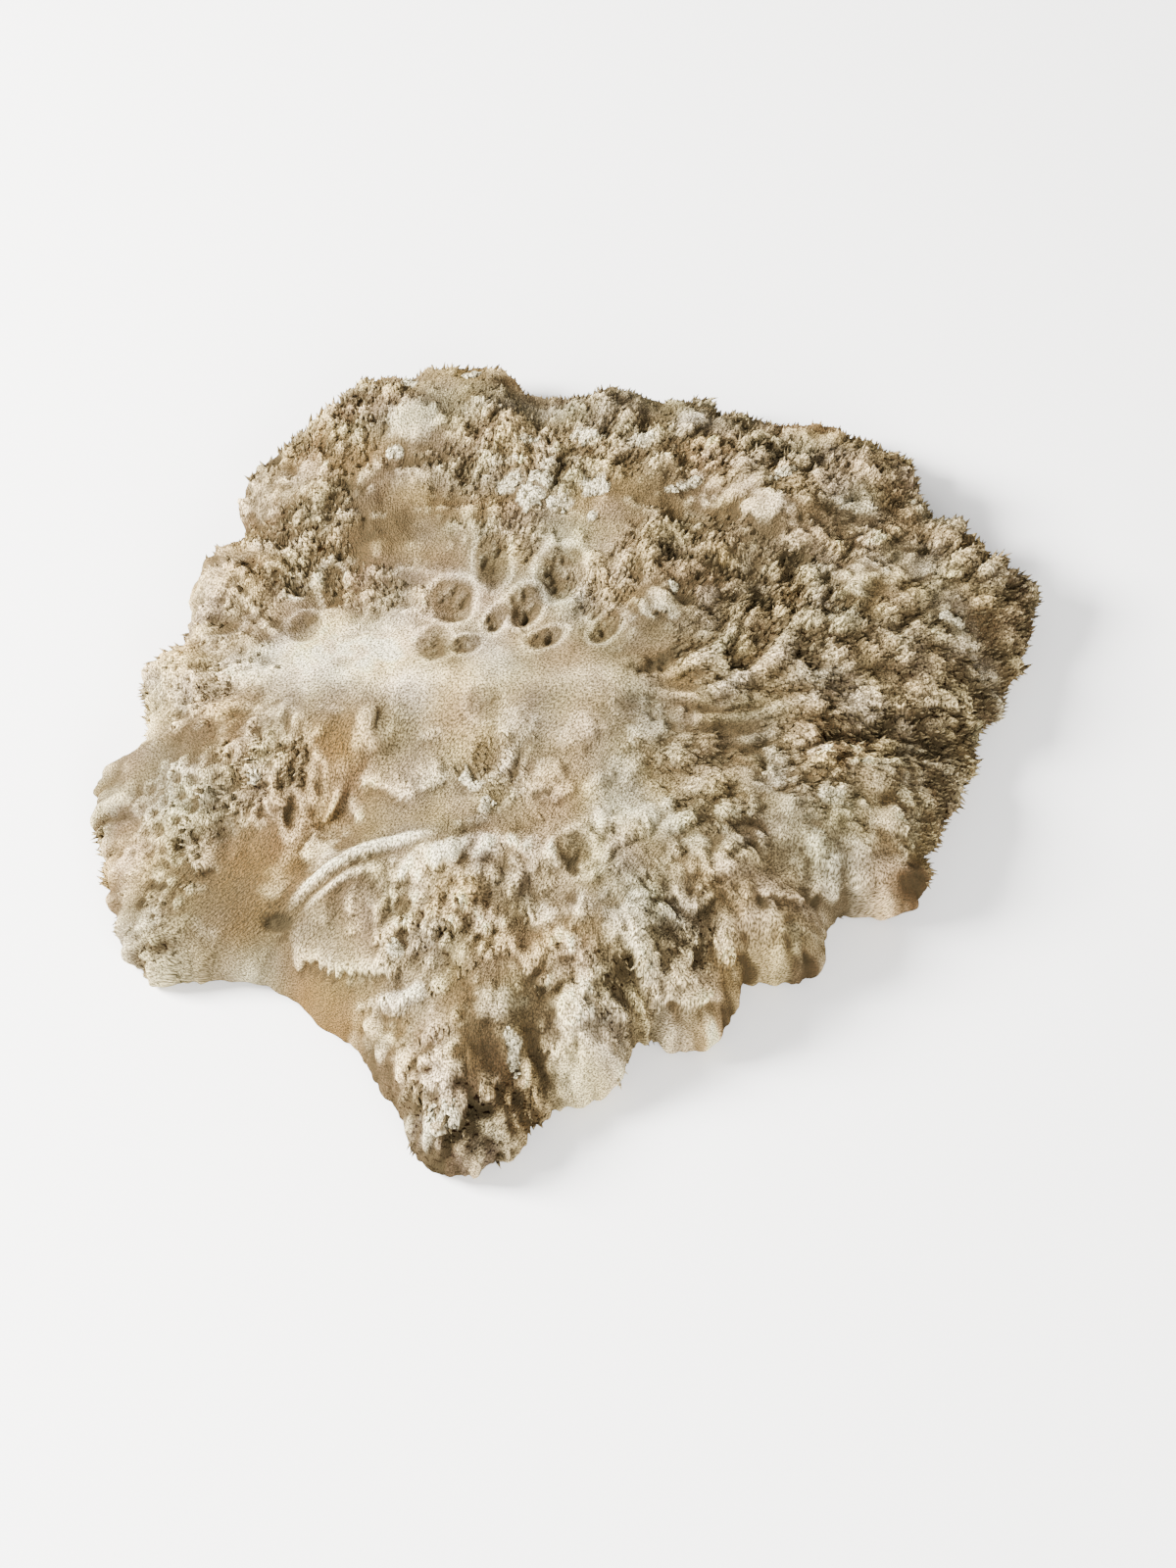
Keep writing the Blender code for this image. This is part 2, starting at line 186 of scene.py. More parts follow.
# Marks on the skin, by kind. Eyes, pits, knobs and chips: place, half sizes, turn and strength; a pit
# also has its stain's colour, and a knob has a height and, instead of a strength, how strongly its top
# is painted pale as a highlight and its front edge dark as shade. Tints: place, half sizes, colour,
# strength; the cream tints along the upper crest and the small one at (-126, -106) are painted
# highlight and sheen, the tip-coloured tints on the lower front are painted light, and the brown and
# red tints along the right edge are partly the wood's red-brown, partly painted shade. Ledges: line,
# how far they slope back, height, depth of teeth. Folds: line, half width, height, side of the groove.
marks = {
    "eyes": [
        (-46, 40, 9.2, 11, 0, 1.0), (-31, 60, 6.8, 14.1, 0, 0.7), (-3, 53, 9.6, 12.3, 0, 1.0),
        (-17, 36, 6.8, 10.6, -15, 0.95), (-29, 29, 4, 7.5, -25, 1.0),
        (-53, 15, 6.8, 8.8, 0, 0.75), (-40, 15, 6.4, 4.4, 30, 0.9), (-9, 18, 8.4, 5.3, 35, 0.85),
        (15, 23, 4.8, 9.7, -30, 0.8), (-33, -13, 7.2, 6.2, 0, 0.45), (-95, 52, 4.8, 11.4, 5, 1.2),
        (-105, 32, 7.2, 8.8, 0, 0.8), (-115, 56, 3.6, 8.8, 40, 1.1), (-62, -10, 4.8, 5.7, 0, 0.3),
        (3, -73, 7.2, 6.6, 0, 0.6), (-63, -91, 3.6, 4, 0, 0.6),
    ],
    "pits": [
        (-79, 79, 5.6, 4.4, 120, 0.5, 'brown'), (-67, 84, 6.4, 5.3, 60, 0.4, 'brown'),
        (-110, 53, 2.4, 4.8, 45, 1.0, 'purple'), (-122, 39, 1.6, 5.3, 25, 0.8, 'purple'),
        (-115, 33, 1.6, 6.2, 25, 0.6, 'purple'), (-80, 51, 5.6, 4.4, 40, 0.5, 'mauve'),
        (-93, 69, 2.4, 4, 30, 1.0, 'brown'), (-64, 115, 9.6, 5.3, 20, 0.75, 'brown'),
        (-91, 105, 1.6, 4, 15, 1.0, 'purple'), (-86, 102, 3.6, 3.1, 0, 0.6, 'brown'),
        (-114, 92, 7.2, 2.6, 10, 0.9, 'black'), (-108, 94, 3.2, 2.2, 0, 0.8, 'black'),
        (-125, 131, 2, 1.8, 0, 0.6, 'brown'), (-84, 140, 2.8, 2.2, 0, 0.8, 'black'),
        (-77, 134, 1.2, 2.2, 0, 1.0, 'black'), (-98, 126, 4.8, 2.2, 60, 0.5, 'purple'),
        (-40, 130, 3.2, 2.6, 0, 0.9, 'brown'), (-8, 123, 3.2, 1.8, -30, 1.0, 'black'),
        (-3, 112, 1.6, 2.2, 0, 1.0, 'black'), (-4, 100, 4.8, 1.8, -10, 1.0, 'black'),
        (1, 131, 3.2, 1.1, 30, 0.9, 'black'), (-110, -9, 4.8, 3.5, 0, 0.4, 'red'),
        (-146, 18, 4, 3.5, 0, 0.6, 'brown'), (-75, -17, 1.1, 2.6, -20, 1.2, 'brown'),
        (75, 141, 6.4, 4, -20, 1.1, 'black'), (82, 127, 4, 3.1, -30, 0.9, 'purple'),
        (63, 81, 8, 5.3, 40, 0.7, 'brown'), (37, 66, 3.2, 3.1, 0, 1.0, 'purple'),
        (44, 61, 4, 2.2, -10, 0.9, 'purple'), (56, 60, 4.8, 2.6, 0, 0.9, 'black'),
        (90, 64, 5.6, 1.8, 10, 0.9, 'purple'), (79, 42, 5.6, 3.5, -20, 1.1, 'black'),
        (73, 46, 4, 3.1, 30, 0.8, 'brown'), (145, 76, 4, 1.8, 35, 1.0, 'purple'),
        (134, 81, 2.8, 2.2, 40, 0.9, 'purple'), (139, 75, 3.2, 1.8, 0, 0.8, 'brown'),
        (105, 55, 1.2, 3.1, 0, 1.0, 'black'), (94, 82, 1.6, 2.6, 0, 0.9, 'purple'),
        (36, 7, 10.4, 3.1, 25, 0.9, 'black'), (50, 36, 3.2, 4.4, 0, 0.6, 'black'),
        (106, 113, 4, 2.6, 20, 0.7, 'black'), (107, 91, 3.2, 2.6, 0, 0.7, 'brown'),
        (120, -8, 8.8, 4, 0, 0.8, 'black'), (105, -19, 3.2, 2.6, 0, 0.6, 'brown'),
        (59, -34, 4.8, 2.6, 0, 0.8, 'black'), (99, -34, 2.8, 1.8, 0, 0.9, 'brown'),
        (156, 20, 5.6, 4, 40, 0.6, 'red'), (169, 16, 4, 7, 20, 1.0, 'red'),
        (142, -6, 15.2, 7, 0, 0.7, 'brown'), (-171, -59, 1.6, 1.3, 0, 1.0, 'black'),
        (-168, -78, 1.6, 1.3, 0, 1.0, 'black'), (-162, -84, 1, 1.8, 0, 1.0, 'black'),
        (-161, -74, 3.6, 1.1, -10, 0.9, 'black'), (-113, -90, 4.6, 3.0, -35, 1.3, 'purple'),
        (-109, -52, 2.4, 3.6, 0, 0.6, 'brown'), (-135, -58, 3.6, 4.4, 0, 0.5, 'black'),
        (-144, -57, 2.8, 3.5, 0, 0.5, 'black'),
        (-122, -41, 2.4, 2.2, 0, 0.6, 'brown'),
        (-21, -40, 2, 5.3, -20, 0.8, 'brown'), (-9, -49, 4, 1.8, 10, 0.7, 'black'),
        (-10, -118, 3.2, 2.6, 0, 0.6, 'brown'), (-10, -123, 2.8, 2.6, 0, 0.9, 'purple'),
        (-20, -148, 1.6, 4.8, 15, 1.1, 'black'), (-18, -159, 3.6, 3.5, 0, 1.0, 'brown'),
        (-35, -166, 4, 2.6, 20, 1.1, 'black'), (-40, -172, 5.6, 4, 30, 0.9, 'purple'),
        (-50, -181, 5.6, 2.6, 10, 0.9, 'purple'), (-45, -176, 2, 1.8, 0, 1.0, 'brown'),
        (-26, -178, 2, 2.2, 0, 1.0, 'black'), (-22, -178, 2, 2.6, 0, 1.0, 'purple'),
        (-32, -148, 4.8, 10.6, 10, 0.5, 'brown'), (-12, -146, 3.2, 10.6, 10, 0.8, 'brown'),
        (51, -101, 2.4, 9.7, -20, 0.9, 'brown'), (58, -90, 2, 5.3, -30, 0.6, 'brown'),
        (75, -88, 2, 1.8, 0, 0.9, 'black'), (82, -87, 1.6, 1.8, 0, 0.7, 'brown'),
        (92, -79, 2, 2.2, 0, 0.9, 'black'), (98, -80, 2, 2.2, 0, 1.0, 'black'),
        (93, -100, 1.6, 1.3, 0, 1.0, 'black'), (94, -103, 4.4, 4, -30, 0.8, 'red'),
        (87, -95, 3.2, 4.4, 20, 0.6, 'brown'), (62, -123, 3.2, 2.2, 30, 0.9, 'brown'),
        (63, -118, 3.2, 4, 0, 0.6, 'black'), (73, -103, 3.2, 4, 0, 0.6, 'black'),
        (20, -124, 4, 3.1, -30, 0.7, 'black'), (23, -116, 2.4, 6.2, -10, 0.7, 'black'),
        (14, -132, 3.2, 2.2, -20, 0.7, 'brown'), (8, -113, 2.4, 5.7, 0, 0.5, 'red'),
        (2, -80, 4, 2.6, -20, 1.0, 'purple'), (2, -92, 2.4, 3.1, 0, 0.8, 'brown'),
        (137, -66, 4.8, 4.4, 30, 0.9, 'red'), (70, -62, 3.6, 5.3, 20, 0.5, 'brown'),
        (53, -58, 3.2, 3.1, 0, 0.7, 'black'), (64, -59, 2.8, 2.2, 0, 0.9, 'brown'),
        (74, -60, 3.2, 2.2, -30, 0.7, 'red'), (35, -38, 2.4, 2.2, 0, 0.5, 'brown'),
        (149, -29, 3.2, 7.9, 0, 0.9, 'brown'), (189, 58, 2.8, 11.4, -25, 1.1, 'red'),
        (176, 97, 2.4, 7, -20, 0.9, 'brown'), (41, -81, 4, 2.6, 0, 0.5, 'brown'),
        (31, -81, 2.8, 2.6, 0, 0.4, 'brown'), (4, -141, 1.6, 2.2, 0, 0.5, 'brown'),
    ],
    "knobs": [
        (36, 35, 8, 8.8, 0, 2.0, 0.8), (55, 40, 3.6, 6.2, -20, 1.0, 0.7),
        (21, 53, 3.6, 10.6, -10, 1.0, 0.5), (81, 87, 8, 7.9, 40, 2.2, 1.0),
        (49, 136, 5.6, 10.6, -15, 2.0, 0.7), (30, 124, 5.2, 5.3, 0, 1.4, 0.7),
        (9, 125, 4.8, 4, 0, 1.2, 0.8), (59, 121, 4, 6.2, -20, 1.4, 0.6),
        (72, 112, 6.4, 5.3, 0, 1.2, 0.6), (124, 81, 5.2, 5.7, 30, 1.4, 0.7),
        (116, 54, 7.6, 7, 30, 1.6, 0.7), (151, 95, 8, 7, 0, 1.0, 0.35),
        (156, 35, 8, 5.7, 20, 1.4, 0.6), (98, 133, 8.8, 6.2, 0, 1.0, 0.3),
        (127, 116, 6.4, 6.2, 0, 1.0, 0.3), (136, 120, 5.6, 7, 0, 1.0, 0.3),
        (-65, 137, 10.4, 9.7, 20, 1.6, 0.7), (-36, 143, 6.8, 6.2, 0, 1.2, 0.6),
        (-108, 111, 10.4, 8.8, 40, 1.6, 0.5), (-126, 104, 6.4, 8.8, 20, 1.2, 0.4),
        (-15, 178, 4.8, 7, 0, 1.0, 0.4), (3, 149, 4.8, 6.2, 0, 1.2, 0.4),
        (16, 144, 4.8, 7, 0, 1.2, 0.4), (-137, 60, 8.8, 8.8, 0, 1.2, 0.3),
        (-150, 40, 6.4, 7.9, 0, 1.0, 0.3), (-154, 13, 9.6, 8.8, 0, 1.4, 0.5),
        (-126, 8, 10.4, 6.2, -20, 1.2, 0.7), (-111, 71, 5.6, 8.8, -30, 1.6, 0.5),
        (27, -57, 12, 5.3, 22, 2.2, 1.0), (14, -60, 5.6, 4.4, 10, 1.4, 0.9),
        (-4, -75, 3.2, 6.2, 0, 1.4, 0.9), (41, -83, 11.2, 5.7, -25, 2.4, 0.9),
        (35, -96, 4.8, 4.8, 0, 1.6, 0.9), (26, -94, 4.4, 4.4, 0, 1.2, 0.6),
        (57, -76, 5.6, 4.8, 20, 1.8, 0.9), (51, -69, 3.6, 4.8, -30, 1.2, 0.8),
        (42, -59, 5.6, 4, 20, 1.2, 0.7), (74, -41, 8, 5.3, 25, 1.6, 0.9),
        (62, -56, 4.8, 4.4, 20, 1.2, 0.7), (82, -37, 5.6, 4, 20, 1.2, 0.8),
        (105, -44, 8, 4.4, 15, 1.5, 0.8), (125, -48, 8, 5.3, 15, 1.7, 0.9),
        (122, -26, 8.8, 4, 20, 1.4, 0.8), (100, -71, 6.4, 5.3, -20, 1.7, 0.8),
        (96, -65, 3.6, 4.8, -25, 1.2, 0.7), (88, -95, 4, 4.4, 0, 1.2, 0.8),
        (60, -39, 4.8, 4, 20, 1.2, 0.8), (81, -29, 5.6, 3.1, 20, 1.0, 0.7),
        (101, -24, 5.6, 3.1, 20, 1.0, 0.7), (116, -61, 8, 4, 15, 1.2, 0.6),
        (134, -37, 3.6, 4.4, 0, 1.2, 0.7), (61, -98, 7.2, 10.6, -15, 1.2, 0.5),
        (77, -95, 7.2, 7, 0, 1.4, 0.6), (83, -101, 8, 6.2, -15, 1.2, 0.6),
        (126, -75, 8, 4.8, 10, 1.6, 0.8), (120, -68, 12, 6.2, 15, 1.0, 0.5),
        (40, -132, 8, 7, -10, 1.4, 0.5), (54, -126, 4.4, 5.3, 0, 1.2, 0.7),
        (46, -119, 7.2, 7, 0, 1.0, 0.5), (8, -146, 12.8, 11.9, -20, 2.2, 1.0),
        (2, -131, 8, 6.2, -10, 1.4, 0.7), (4, -124, 6.4, 4.4, -15, 1.4, 0.8),
        (8, -118, 5.6, 4.8, 0, 1.0, 0.7), (-2, -108, 6.4, 6.2, 0, 1.5, 0.8),
        (-4, -118, 4.8, 4.4, 0, 1.2, 0.8), (25, -106, 5.6, 5.3, 0, 1.2, 0.6),
        (33, -114, 6.4, 5.3, 0, 1.2, 0.6), (19, -102, 5.6, 5.3, 0, 1.0, 0.6),
        (2, -93, 4.8, 5.3, 0, 1.0, 0.6), (-10, -97, 5.6, 4.8, 20, 1.0, 0.7),
        (-48, -152, 6, 8.8, 10, 2.2, 0.8), (-61, -145, 4.4, 7, 0, 1.2, 0.6),
        (-29, -131, 8, 5.3, 20, 1.0, 0.5), (-31, -99, 4.4, 4, 30, 1.3, 0.5),
        (-56, -86, 5.6, 3.5, 20, 1.2, 0.7), (-50, -77, 16, 4, 15, 1.2, 1.0),
        (-97, -66, 6, 6.6, 20, 1.2, 1.0), (-30, -72, 12, 4.4, 8, 1.0, 0.6),
        (-13, -74, 8, 5.3, 0, 1.0, 0.6), (-64, -124, 10.4, 4, 20, 1.6, 1.0),
        (-74, -132, 4, 9.7, 10, 1.4, 0.7), (-51, -174, 4.8, 4.4, 20, 1.6, 0.9),
        (-30, -170, 6.4, 4.4, 0, 1.4, 0.5), (-7, -158, 4, 4, 20, 1.0, 0.4),
        (-180, -32, 6.4, 6.2, 0, 1.2, 0.3), (-174, -62, 6.4, 5.3, 0, 1.4, 0.5),
        (-160, -70, 3.6, 3.1, 0, 1.2, 0.6), (-136, -35, 5.6, 4, 0, 1.0, 0.5),
        (-163, -83, 4.8, 5.3, 0, 1.0, 0.4), (-63, -11, 4.8, 5.3, 0, 1.0, 0.2),
        (-23, -21, 6.4, 4.4, 20, 0.8, 0.4), (4, -23, 8, 5.3, 20, 0.8, 0.5),
        (23, -35, 6.4, 4.4, 30, 1.0, 0.5), (-7, -38, 5.6, 4.4, 40, 1.0, 0.4),
        (12, -42, 5.6, 3.5, 30, 1.0, 0.5), (31, -23, 7.2, 3.5, 20, 1.0, 0.6),
        (43, -31, 4.8, 4.4, 30, 1.0, 0.6),
    ],
    "chips": [
        (-16, 92, 6.8, 5.7, -15, 1.0), (-11, 101, 4.8, 2.6, -30, 0.9),
        (-24, 102, 4.8, 3.5, 10, 0.55), (-15, 124, 4.8, 2.2, 20, 0.6),
        (8, 126, 5.2, 2.6, 10, 0.7), (11, 97, 5.2, 3.5, 0, 0.9), (-4, 89, 4.8, 4, 30, 0.5),
        (-41, 168, 3.2, 1.3, 15, 1.4), (-68, 162, 2.8, 1.8, 20, 1.4),
        (-72, 121, 3.2, 1.8, 0, 1.3), (-38, -42, 3.6, 3.5, -40, 1.0),
        (-32, -53, 2.4, 3.5, -30, 0.8), (-67, -106, 2.4, 2.6, 0, 1.1),
        (155, 43, 4.8, 1.8, -15, 0.9), (-51, -172, 3.6, 4, 0, 0.9), (-21, -142, 2, 4.4, 20, 0.8),
        (-122, -39, 1.6, 2.2, 0, 0.6), (10, 81, 1.6, 1.8, 0, 1.2), (42, 44, 1.2, 2.2, 0, 1.2),
        (-20, -149, 1.6, 4, 15, 0.7), (48, 101, 6.4, 1.8, 30, 0.6), (89, 107, 5.6, 1.8, 35, 0.6),
        (-45, -169, 2.8, 2.2, 0, 0.8),
    ],
    "tints": [
        # The first cream tints lie along the upper crest: painted highlight.
        (-84, 10, 24, 15, 'cream', 1.0), (-42, -2, 30, 8, 'cream', 0.55),
        (-98, 25, 20, 7.9, 'cream', 0.5), (12, -4, 24, 6, 'cream', 0.4),
        (-31, 26, 28, 26.4, 'cream', 0.35), (4, 66, 24, 22, 'cream', 0.35),
        (-129, 13, 24, 11.4, 'cream', 0.6), (-130, -92, 24, 22.9, 'tan', 1.0),
        (-111, -69, 10.4, 15.8, 'tan', 0.9), (-90, -27, 8.8, 17.6, 'tan', 0.8),
        (-75, -18, 8.8, 9.7, 'tan', 0.7), (-91, -119, 22, 13.2, 'tan', 0.9),
        (-84, -61, 20, 8.8, 'tan', 0.5), (-60, -63, 24, 8.8, 'tan', 0.5),
        (-22, -122, 24, 13.2, 'tan', 0.4), (12, -111, 24, 17.6, 'tan', 0.35),
        (80, -92, 24, 17.6, 'tan', 0.5), (116, -71, 24, 13.2, 'tan', 0.4),
        (46, -127, 20, 13.2, 'tan', 0.4), (27, -25, 24, 11.4, 'tan', 0.35),
        (-30, -14, 24, 13.2, 'tan', 0.35), (-65, 106, 24, 15.8, 'brown', 0.8),
        (-74, 77, 16, 17.6, 'brown', 0.55), (-99, 59, 20, 22, 'brown', 0.4),
        (-118, 34, 9.6, 9.7, 'mauve', 0.8), (-79, 50, 8, 7.9, 'mauve', 0.5),
        (-131, 45, 12, 13.2, 'brown', 0.3), (64, 77, 18, 12.3, 'brown', 0.6),
        (83, 47, 20, 13.2, 'brown', 0.35), (138, -3, 24, 13.2, 'brown', 0.85),
        # Along the right edge the red and brown tints are partly the wood's red-brown, partly painted
        # shade.
        (149, -21, 12, 22, 'brown', 0.7), (167, 15, 10.4, 22, 'red', 0.9),
        (190, 60, 6.4, 20.2, 'red', 0.9), (174, 95, 4.8, 9.7, 'red', 0.6),
        (138, -66, 10.4, 9.7, 'red', 0.6), (-11, -138, 10.4, 26.4, 'brown', 0.9),
        (-35, -149, 9.6, 15.8, 'brown', 0.6), (-41, -173, 24, 17.6, 'mauve', 0.6),
        (17, -123, 10.4, 22, 'brown', 0.5), (50, -104, 8, 17.6, 'brown', 0.5),
        (61, -69, 28, 17.6, 'brown', 0.3), (4, -78, 12, 13.2, 'brown', 0.5),
        (23, -82, 16, 7, 'brown', 0.5), (-107, -52, 24, 13.2, 'grey', 0.7),
        (-134, -55, 24, 15, 'grey', 0.6), (-170, -51, 20, 22, 'grey', 0.4),
        (-111, -88, 6.4, 6.2, 'brown', 1.0), (114, 130, 44, 15.8, 'grey', 0.7),
        (152, 72, 36, 26.4, 'grey', 0.6), (24, 142, 36, 15.8, 'grey', 0.5),
        (-8, 151, 16, 13.2, 'grey', 0.5), (48, 97, 48, 22, 'brown', 0.3),
        (125, 15, 36, 17.6, 'grey', 0.5), (86, 5, 48, 13.2, 'tan', 0.3),
        (-65, 138, 20, 15.8, 'grey', 0.6), (-113, 107, 20, 17.6, 'grey', 0.4),
        # The small cream tint at (-126, -106) is a painted sheen.
        (-37, -89, 24, 22, 'grey', 0.25), (-126, -106, 10, 8, 'cream', 0.5),
        (60, 68, 26, 24, 'brown', 0.55), (64, 18, 26, 26, 'brown', 0.5),
        # The brown tints at (178, 18) and (192, 62) are partly the wood's colour, partly painted shade.
        (58, -24, 24, 20, 'brown', 0.75), (178, 18, 16, 36, 'brown', 0.7),
        (192, 62, 10, 30, 'brown', 0.5), (58, 108, 26, 20, 'brown', 0.4),
        (-105, 84, 24, 24, 'brown', 0.4), (-50, 88, 26, 26, 'brown', 0.45),
        (-170, 40, 24, 30, 'cream', 0.35), (-160, -104, 26, 16, 'cream', 0.2),
        (-122, -72, 26, 26, 'tan', 0.8), (-90, -165, 20, 14, 'tan', 0.6),
        # The tip-coloured tints on the lower front are painted light.
        (0, -66, 44, 26, 'tip', 0.3), (62, -72, 40, 26, 'tip', 0.2),
        (26, -112, 40, 26, 'tip', 0.2), (100, -70, 30, 22, 'tip', 0.2),
        (10, -28, 40, 16, 'tip', 0.25), (8, -146, 12, 12, 'cream', 0.5),
        (24, -62, 22, 12, 'cream', 0.4), (186, 40, 10, 34, 'red', 0.6),
        (-84, -62, 14, 18, 'tan', 0.25), (60, -112, 10, 12, 'tan', 0.6),
        (78, -104, 12, 10, 'red', 0.25), (-40, -74, 12, 8, 'tan', 0.4),
    ],
    "ledges": [
        ([(10, -79), (15, -76), (19, -70), (26, -65), (35, -62)], 9, 3.0, 1.0),
        ([(-82, -37), (-75, -41), (-67, -46), (-59, -49)], 8, 2.0, 1.0),
        ([(-59, -47), (-51, -42), (-45, -38)], 6, 1.5, 0.8),
        ([(-108, -104), (-99, -103), (-89, -109), (-78, -111), (-67, -115)], 7, 2.0, 1.0),
        ([(23, -93), (35, -87), (48, -88)], 7, 2.2, 0.9),
        ([(-6, -157), (4, -154), (14, -152), (19, -147)], 6, 2.0, 1.0),
        ([(-51, 117), (-61, 112), (-73, 114)], 8, 2.0, 0.6),
        ([(-133, 51), (-126, 41), (-117, 27)], 7, 1.6, 0.5),
        ([(62, 89), (74, 96), (89, 109)], 9, 2.0, 0.7),
        ([(-16, 122), (-7, 116), (4, 122), (16, 122)], 7, 1.8, 0.8),
        ([(43, 48), (59, 59), (75, 57)], 7, 1.6, 0.8),
        ([(-15, -49), (-5, -50), (4, -47)], 5, 1.2, 0.8),
        ([(72, -85), (84, -83), (100, -78)], 7, 1.8, 0.8),
        ([(77, -74), (69, -67), (61, -62)], 7, 1.6, 0.6),
        ([(-154, -53), (-144, -68), (-135, -71)], 5, 1.0, 0.8),
        ([(-155, -35), (-140, -44), (-126, -44)], 7, 1.2, 0.7),
        ([(31, -124), (46, -122), (62, -118)], 6, 1.5, 0.6),
        ([(159, 37), (167, 24), (167, 8)], 7, 1.6, 0.7),
        ([(113, -12), (128, 1), (146, 8), (163, 10)], 10, 2.4, 0.5),
        ([(100, 93), (116, 92), (131, 93)], 7, 1.6, 0.8),
        ([(129, 52), (146, 64), (162, 63)], 7, 1.6, 0.8),
    ],
    "folds": [
        ([(-110, -88), (-100, -80), (-85, -74), (-68, -70), (-48, -69)], 1.9, 3.0, 1),
        ([(-106, -90), (-96, -84), (-83, -80), (-68, -77)], 1.3, 1.8, -1),
        ([(29, -1), (47, 7), (62, 18), (72, 46)], 2.6, 1.8, 1),
        ([(43, -7), (62, -1), (82, 14), (88, 29)], 3.0, 2.0, 1),
        ([(70, 5), (82, 10), (91, 19)], 2.2, 1.4, 1),
        ([(49, 16), (57, 25), (61, 37)], 2.2, 1.4, 1),
        ([(63, 20), (71, 27), (76, 40)], 1.8, 1.2, 1),
        ([(16, -9), (39, -6), (62, -8), (86, 1)], 2.0, 1.0, 1),
        ([(23, -15), (54, -16), (85, -7), (109, 4)], 2.2, 1.0, 1),
        ([(31, -22), (62, -25), (93, -14)], 2.2, 0.9, -1),
        ([(47, 11), (70, 3), (101, 7), (125, 21)], 2.2, 1.1, 1),
        ([(-89, -39), (-93, -47), (-96, -54)], 1.6, 1.6, -1),
        ([(-85, -42), (-80, -58)], 1.4, 1.3, 1),
        ([(-1, -82), (8, -83), (16, -78)], 2.0, 1.6, 1),
        ([(-3, -68), (4, -64), (10, -68), (10, -75)], 1.8, 1.3, 1),
        ([(42, -115), (51, -99), (58, -89)], 2.4, 1.8, 1),
        ([(108, -70), (116, -71), (125, -67)], 1.8, 1.0, 1),
        ([(111, -73), (120, -73), (130, -73)], 1.6, 0.9, 1),
        ([(-15, -142), (-17, -151), (-19, -159)], 1.6, 1.5, 1),
    ],
}

# Where the sides stand out further than the CAD form's, or less: place, half width, push.
pushes = [
    (-73, 160, 18, 3.0), (148, 96, 8, 5.0), (161, 86, 8, 5.0), (160, -8, 8, 4.0), (140, -76, 10, 4.0),
    (104, -93, 10, 4.0), (92, -113, 10, 5.0), (60, -134, 12, 5.0), (-52, -188, 14, 5.0),
    (-84, -151, 8, 4.0), (-112, -123, 16, 2.5), (-5, 152, 14, 2.5), (32, 154, 12, 3.0),
    (-192, -48, 10, -4.0), (-174, 8, 14, -3.5), (-136, 92, 12, -2.5),
]

# Stretches where the CAD form's furrow is a little too deep: line, half width, height.
fills = [
    ([(-79, -18), (-72, -20)], 6.5, 4.0), ([(-80, -26), (-96, -46), (-114, -78)], 9, 4.0),
    ([(-51, -40), (-20, -44), (10, -42)], 10, 2.0),
]

# Smooth stretches: place, half width, strength.
calm = [
    (-86, 4, 30, 0.9), (-45, -2, 26, 0.9), (0, -3, 26, 0.8), (-33, 36, 26, 0.75), (4, 62, 20, 0.5),
    (-130, -86, 24, 0.9), (-112, -68, 14, 0.8), (-96, -66, 12, 0.9), (-60, -72, 16, 0.8),
    (-92, -118, 20, 1.0), (6, -142, 13, 0.8), (-66, 128, 12, 0.6), (76, -94, 10, 0.3),
    (40, -130, 10, 0.3), (120, -70, 10, 0.3), (151, 96, 12, 0.5), (106, 128, 14, 0.4),
    (116, 54, 9, 0.5), (40, -14, 22, 0.5), (86, 2, 26, 0.35), (-89, -36, 12, 0.6),
    (-150, 30, 18, 0.4), (-74, -52, 14, 0.7), (-60, -62, 16, 0.6), (33, 40, 9, 0.5),
    (82, 84, 8, 0.6), (41, -83, 8, 0.5), (-112, 104, 22, 0.55), (-158, 60, 20, 0.5),
    (-60, 140, 24, 0.5), (-68, 92, 20, 0.45), (-176, -20, 16, 0.3), (-168, -60, 16, 0.2),
    (15, 85, 14, 0.5), (-100, -100, 20, 0.7),
    (-86, -34, 11, 0.9), (-95, -50, 11, 0.9), (-104, -66, 12, 0.9), (-42, -52, 11, 0.7),
    (-34, -62, 16, 0.6), (10, -90, 45, 0.25), (60, -75, 40, 0.2), (96, -58, 34, 0.2),
    (-28, -122, 30, 0.2),
]

# Stretches darker or paler as a whole: place, half width, factor. They are partly the wood's own tone
# and
# partly painted light and shade: painted shade in the furrow right of the middle and down the right
# edge, painted light over the lower front.
toneAndLightingStretches = [
    (62, 46, 38, 0.6), (60, -26, 24, 0.4), (58, -78, 24, 0.85), (104, -78, 26, 0.84),
    (156, -34, 22, 0.82), (188, 28, 16, 0.55), (108, -24, 18, 1.25), (136, 78, 34, 1.22),
    (0, 124, 60, 1.2), (-84, 126, 34, 1.15), (-80, 74, 24, 0.58), (-128, -38, 24, 0.84),
    (-130, -84, 26, 0.6), (-84, -168, 24, 0.52), (-36, -126, 24, 0.88), (-44, -76, 32, 1.65),
    (-86, 12, 32, 1.3), (-168, 4, 30, 1.05), (14, -122, 22, 1.35), (62, -122, 18, 1.5),
    (-180, -112, 24, 1.6), (158, -84, 18, 1.3), (14, -30, 20, 0.78), (8, -168, 18, 0.75),
]

# Fields of small hollows with thin pale walls: place, half sizes of the field, then the hollows'
# spacing and half sizes.
combs = [
    (-118, -36, 26, 24, 7.8, 1.9, 4.9), (-152, -48, 22, 20, 9, 2.6, 3.2),
    (-146, 16, 20, 16, 10, 2.4, 3.4),
]


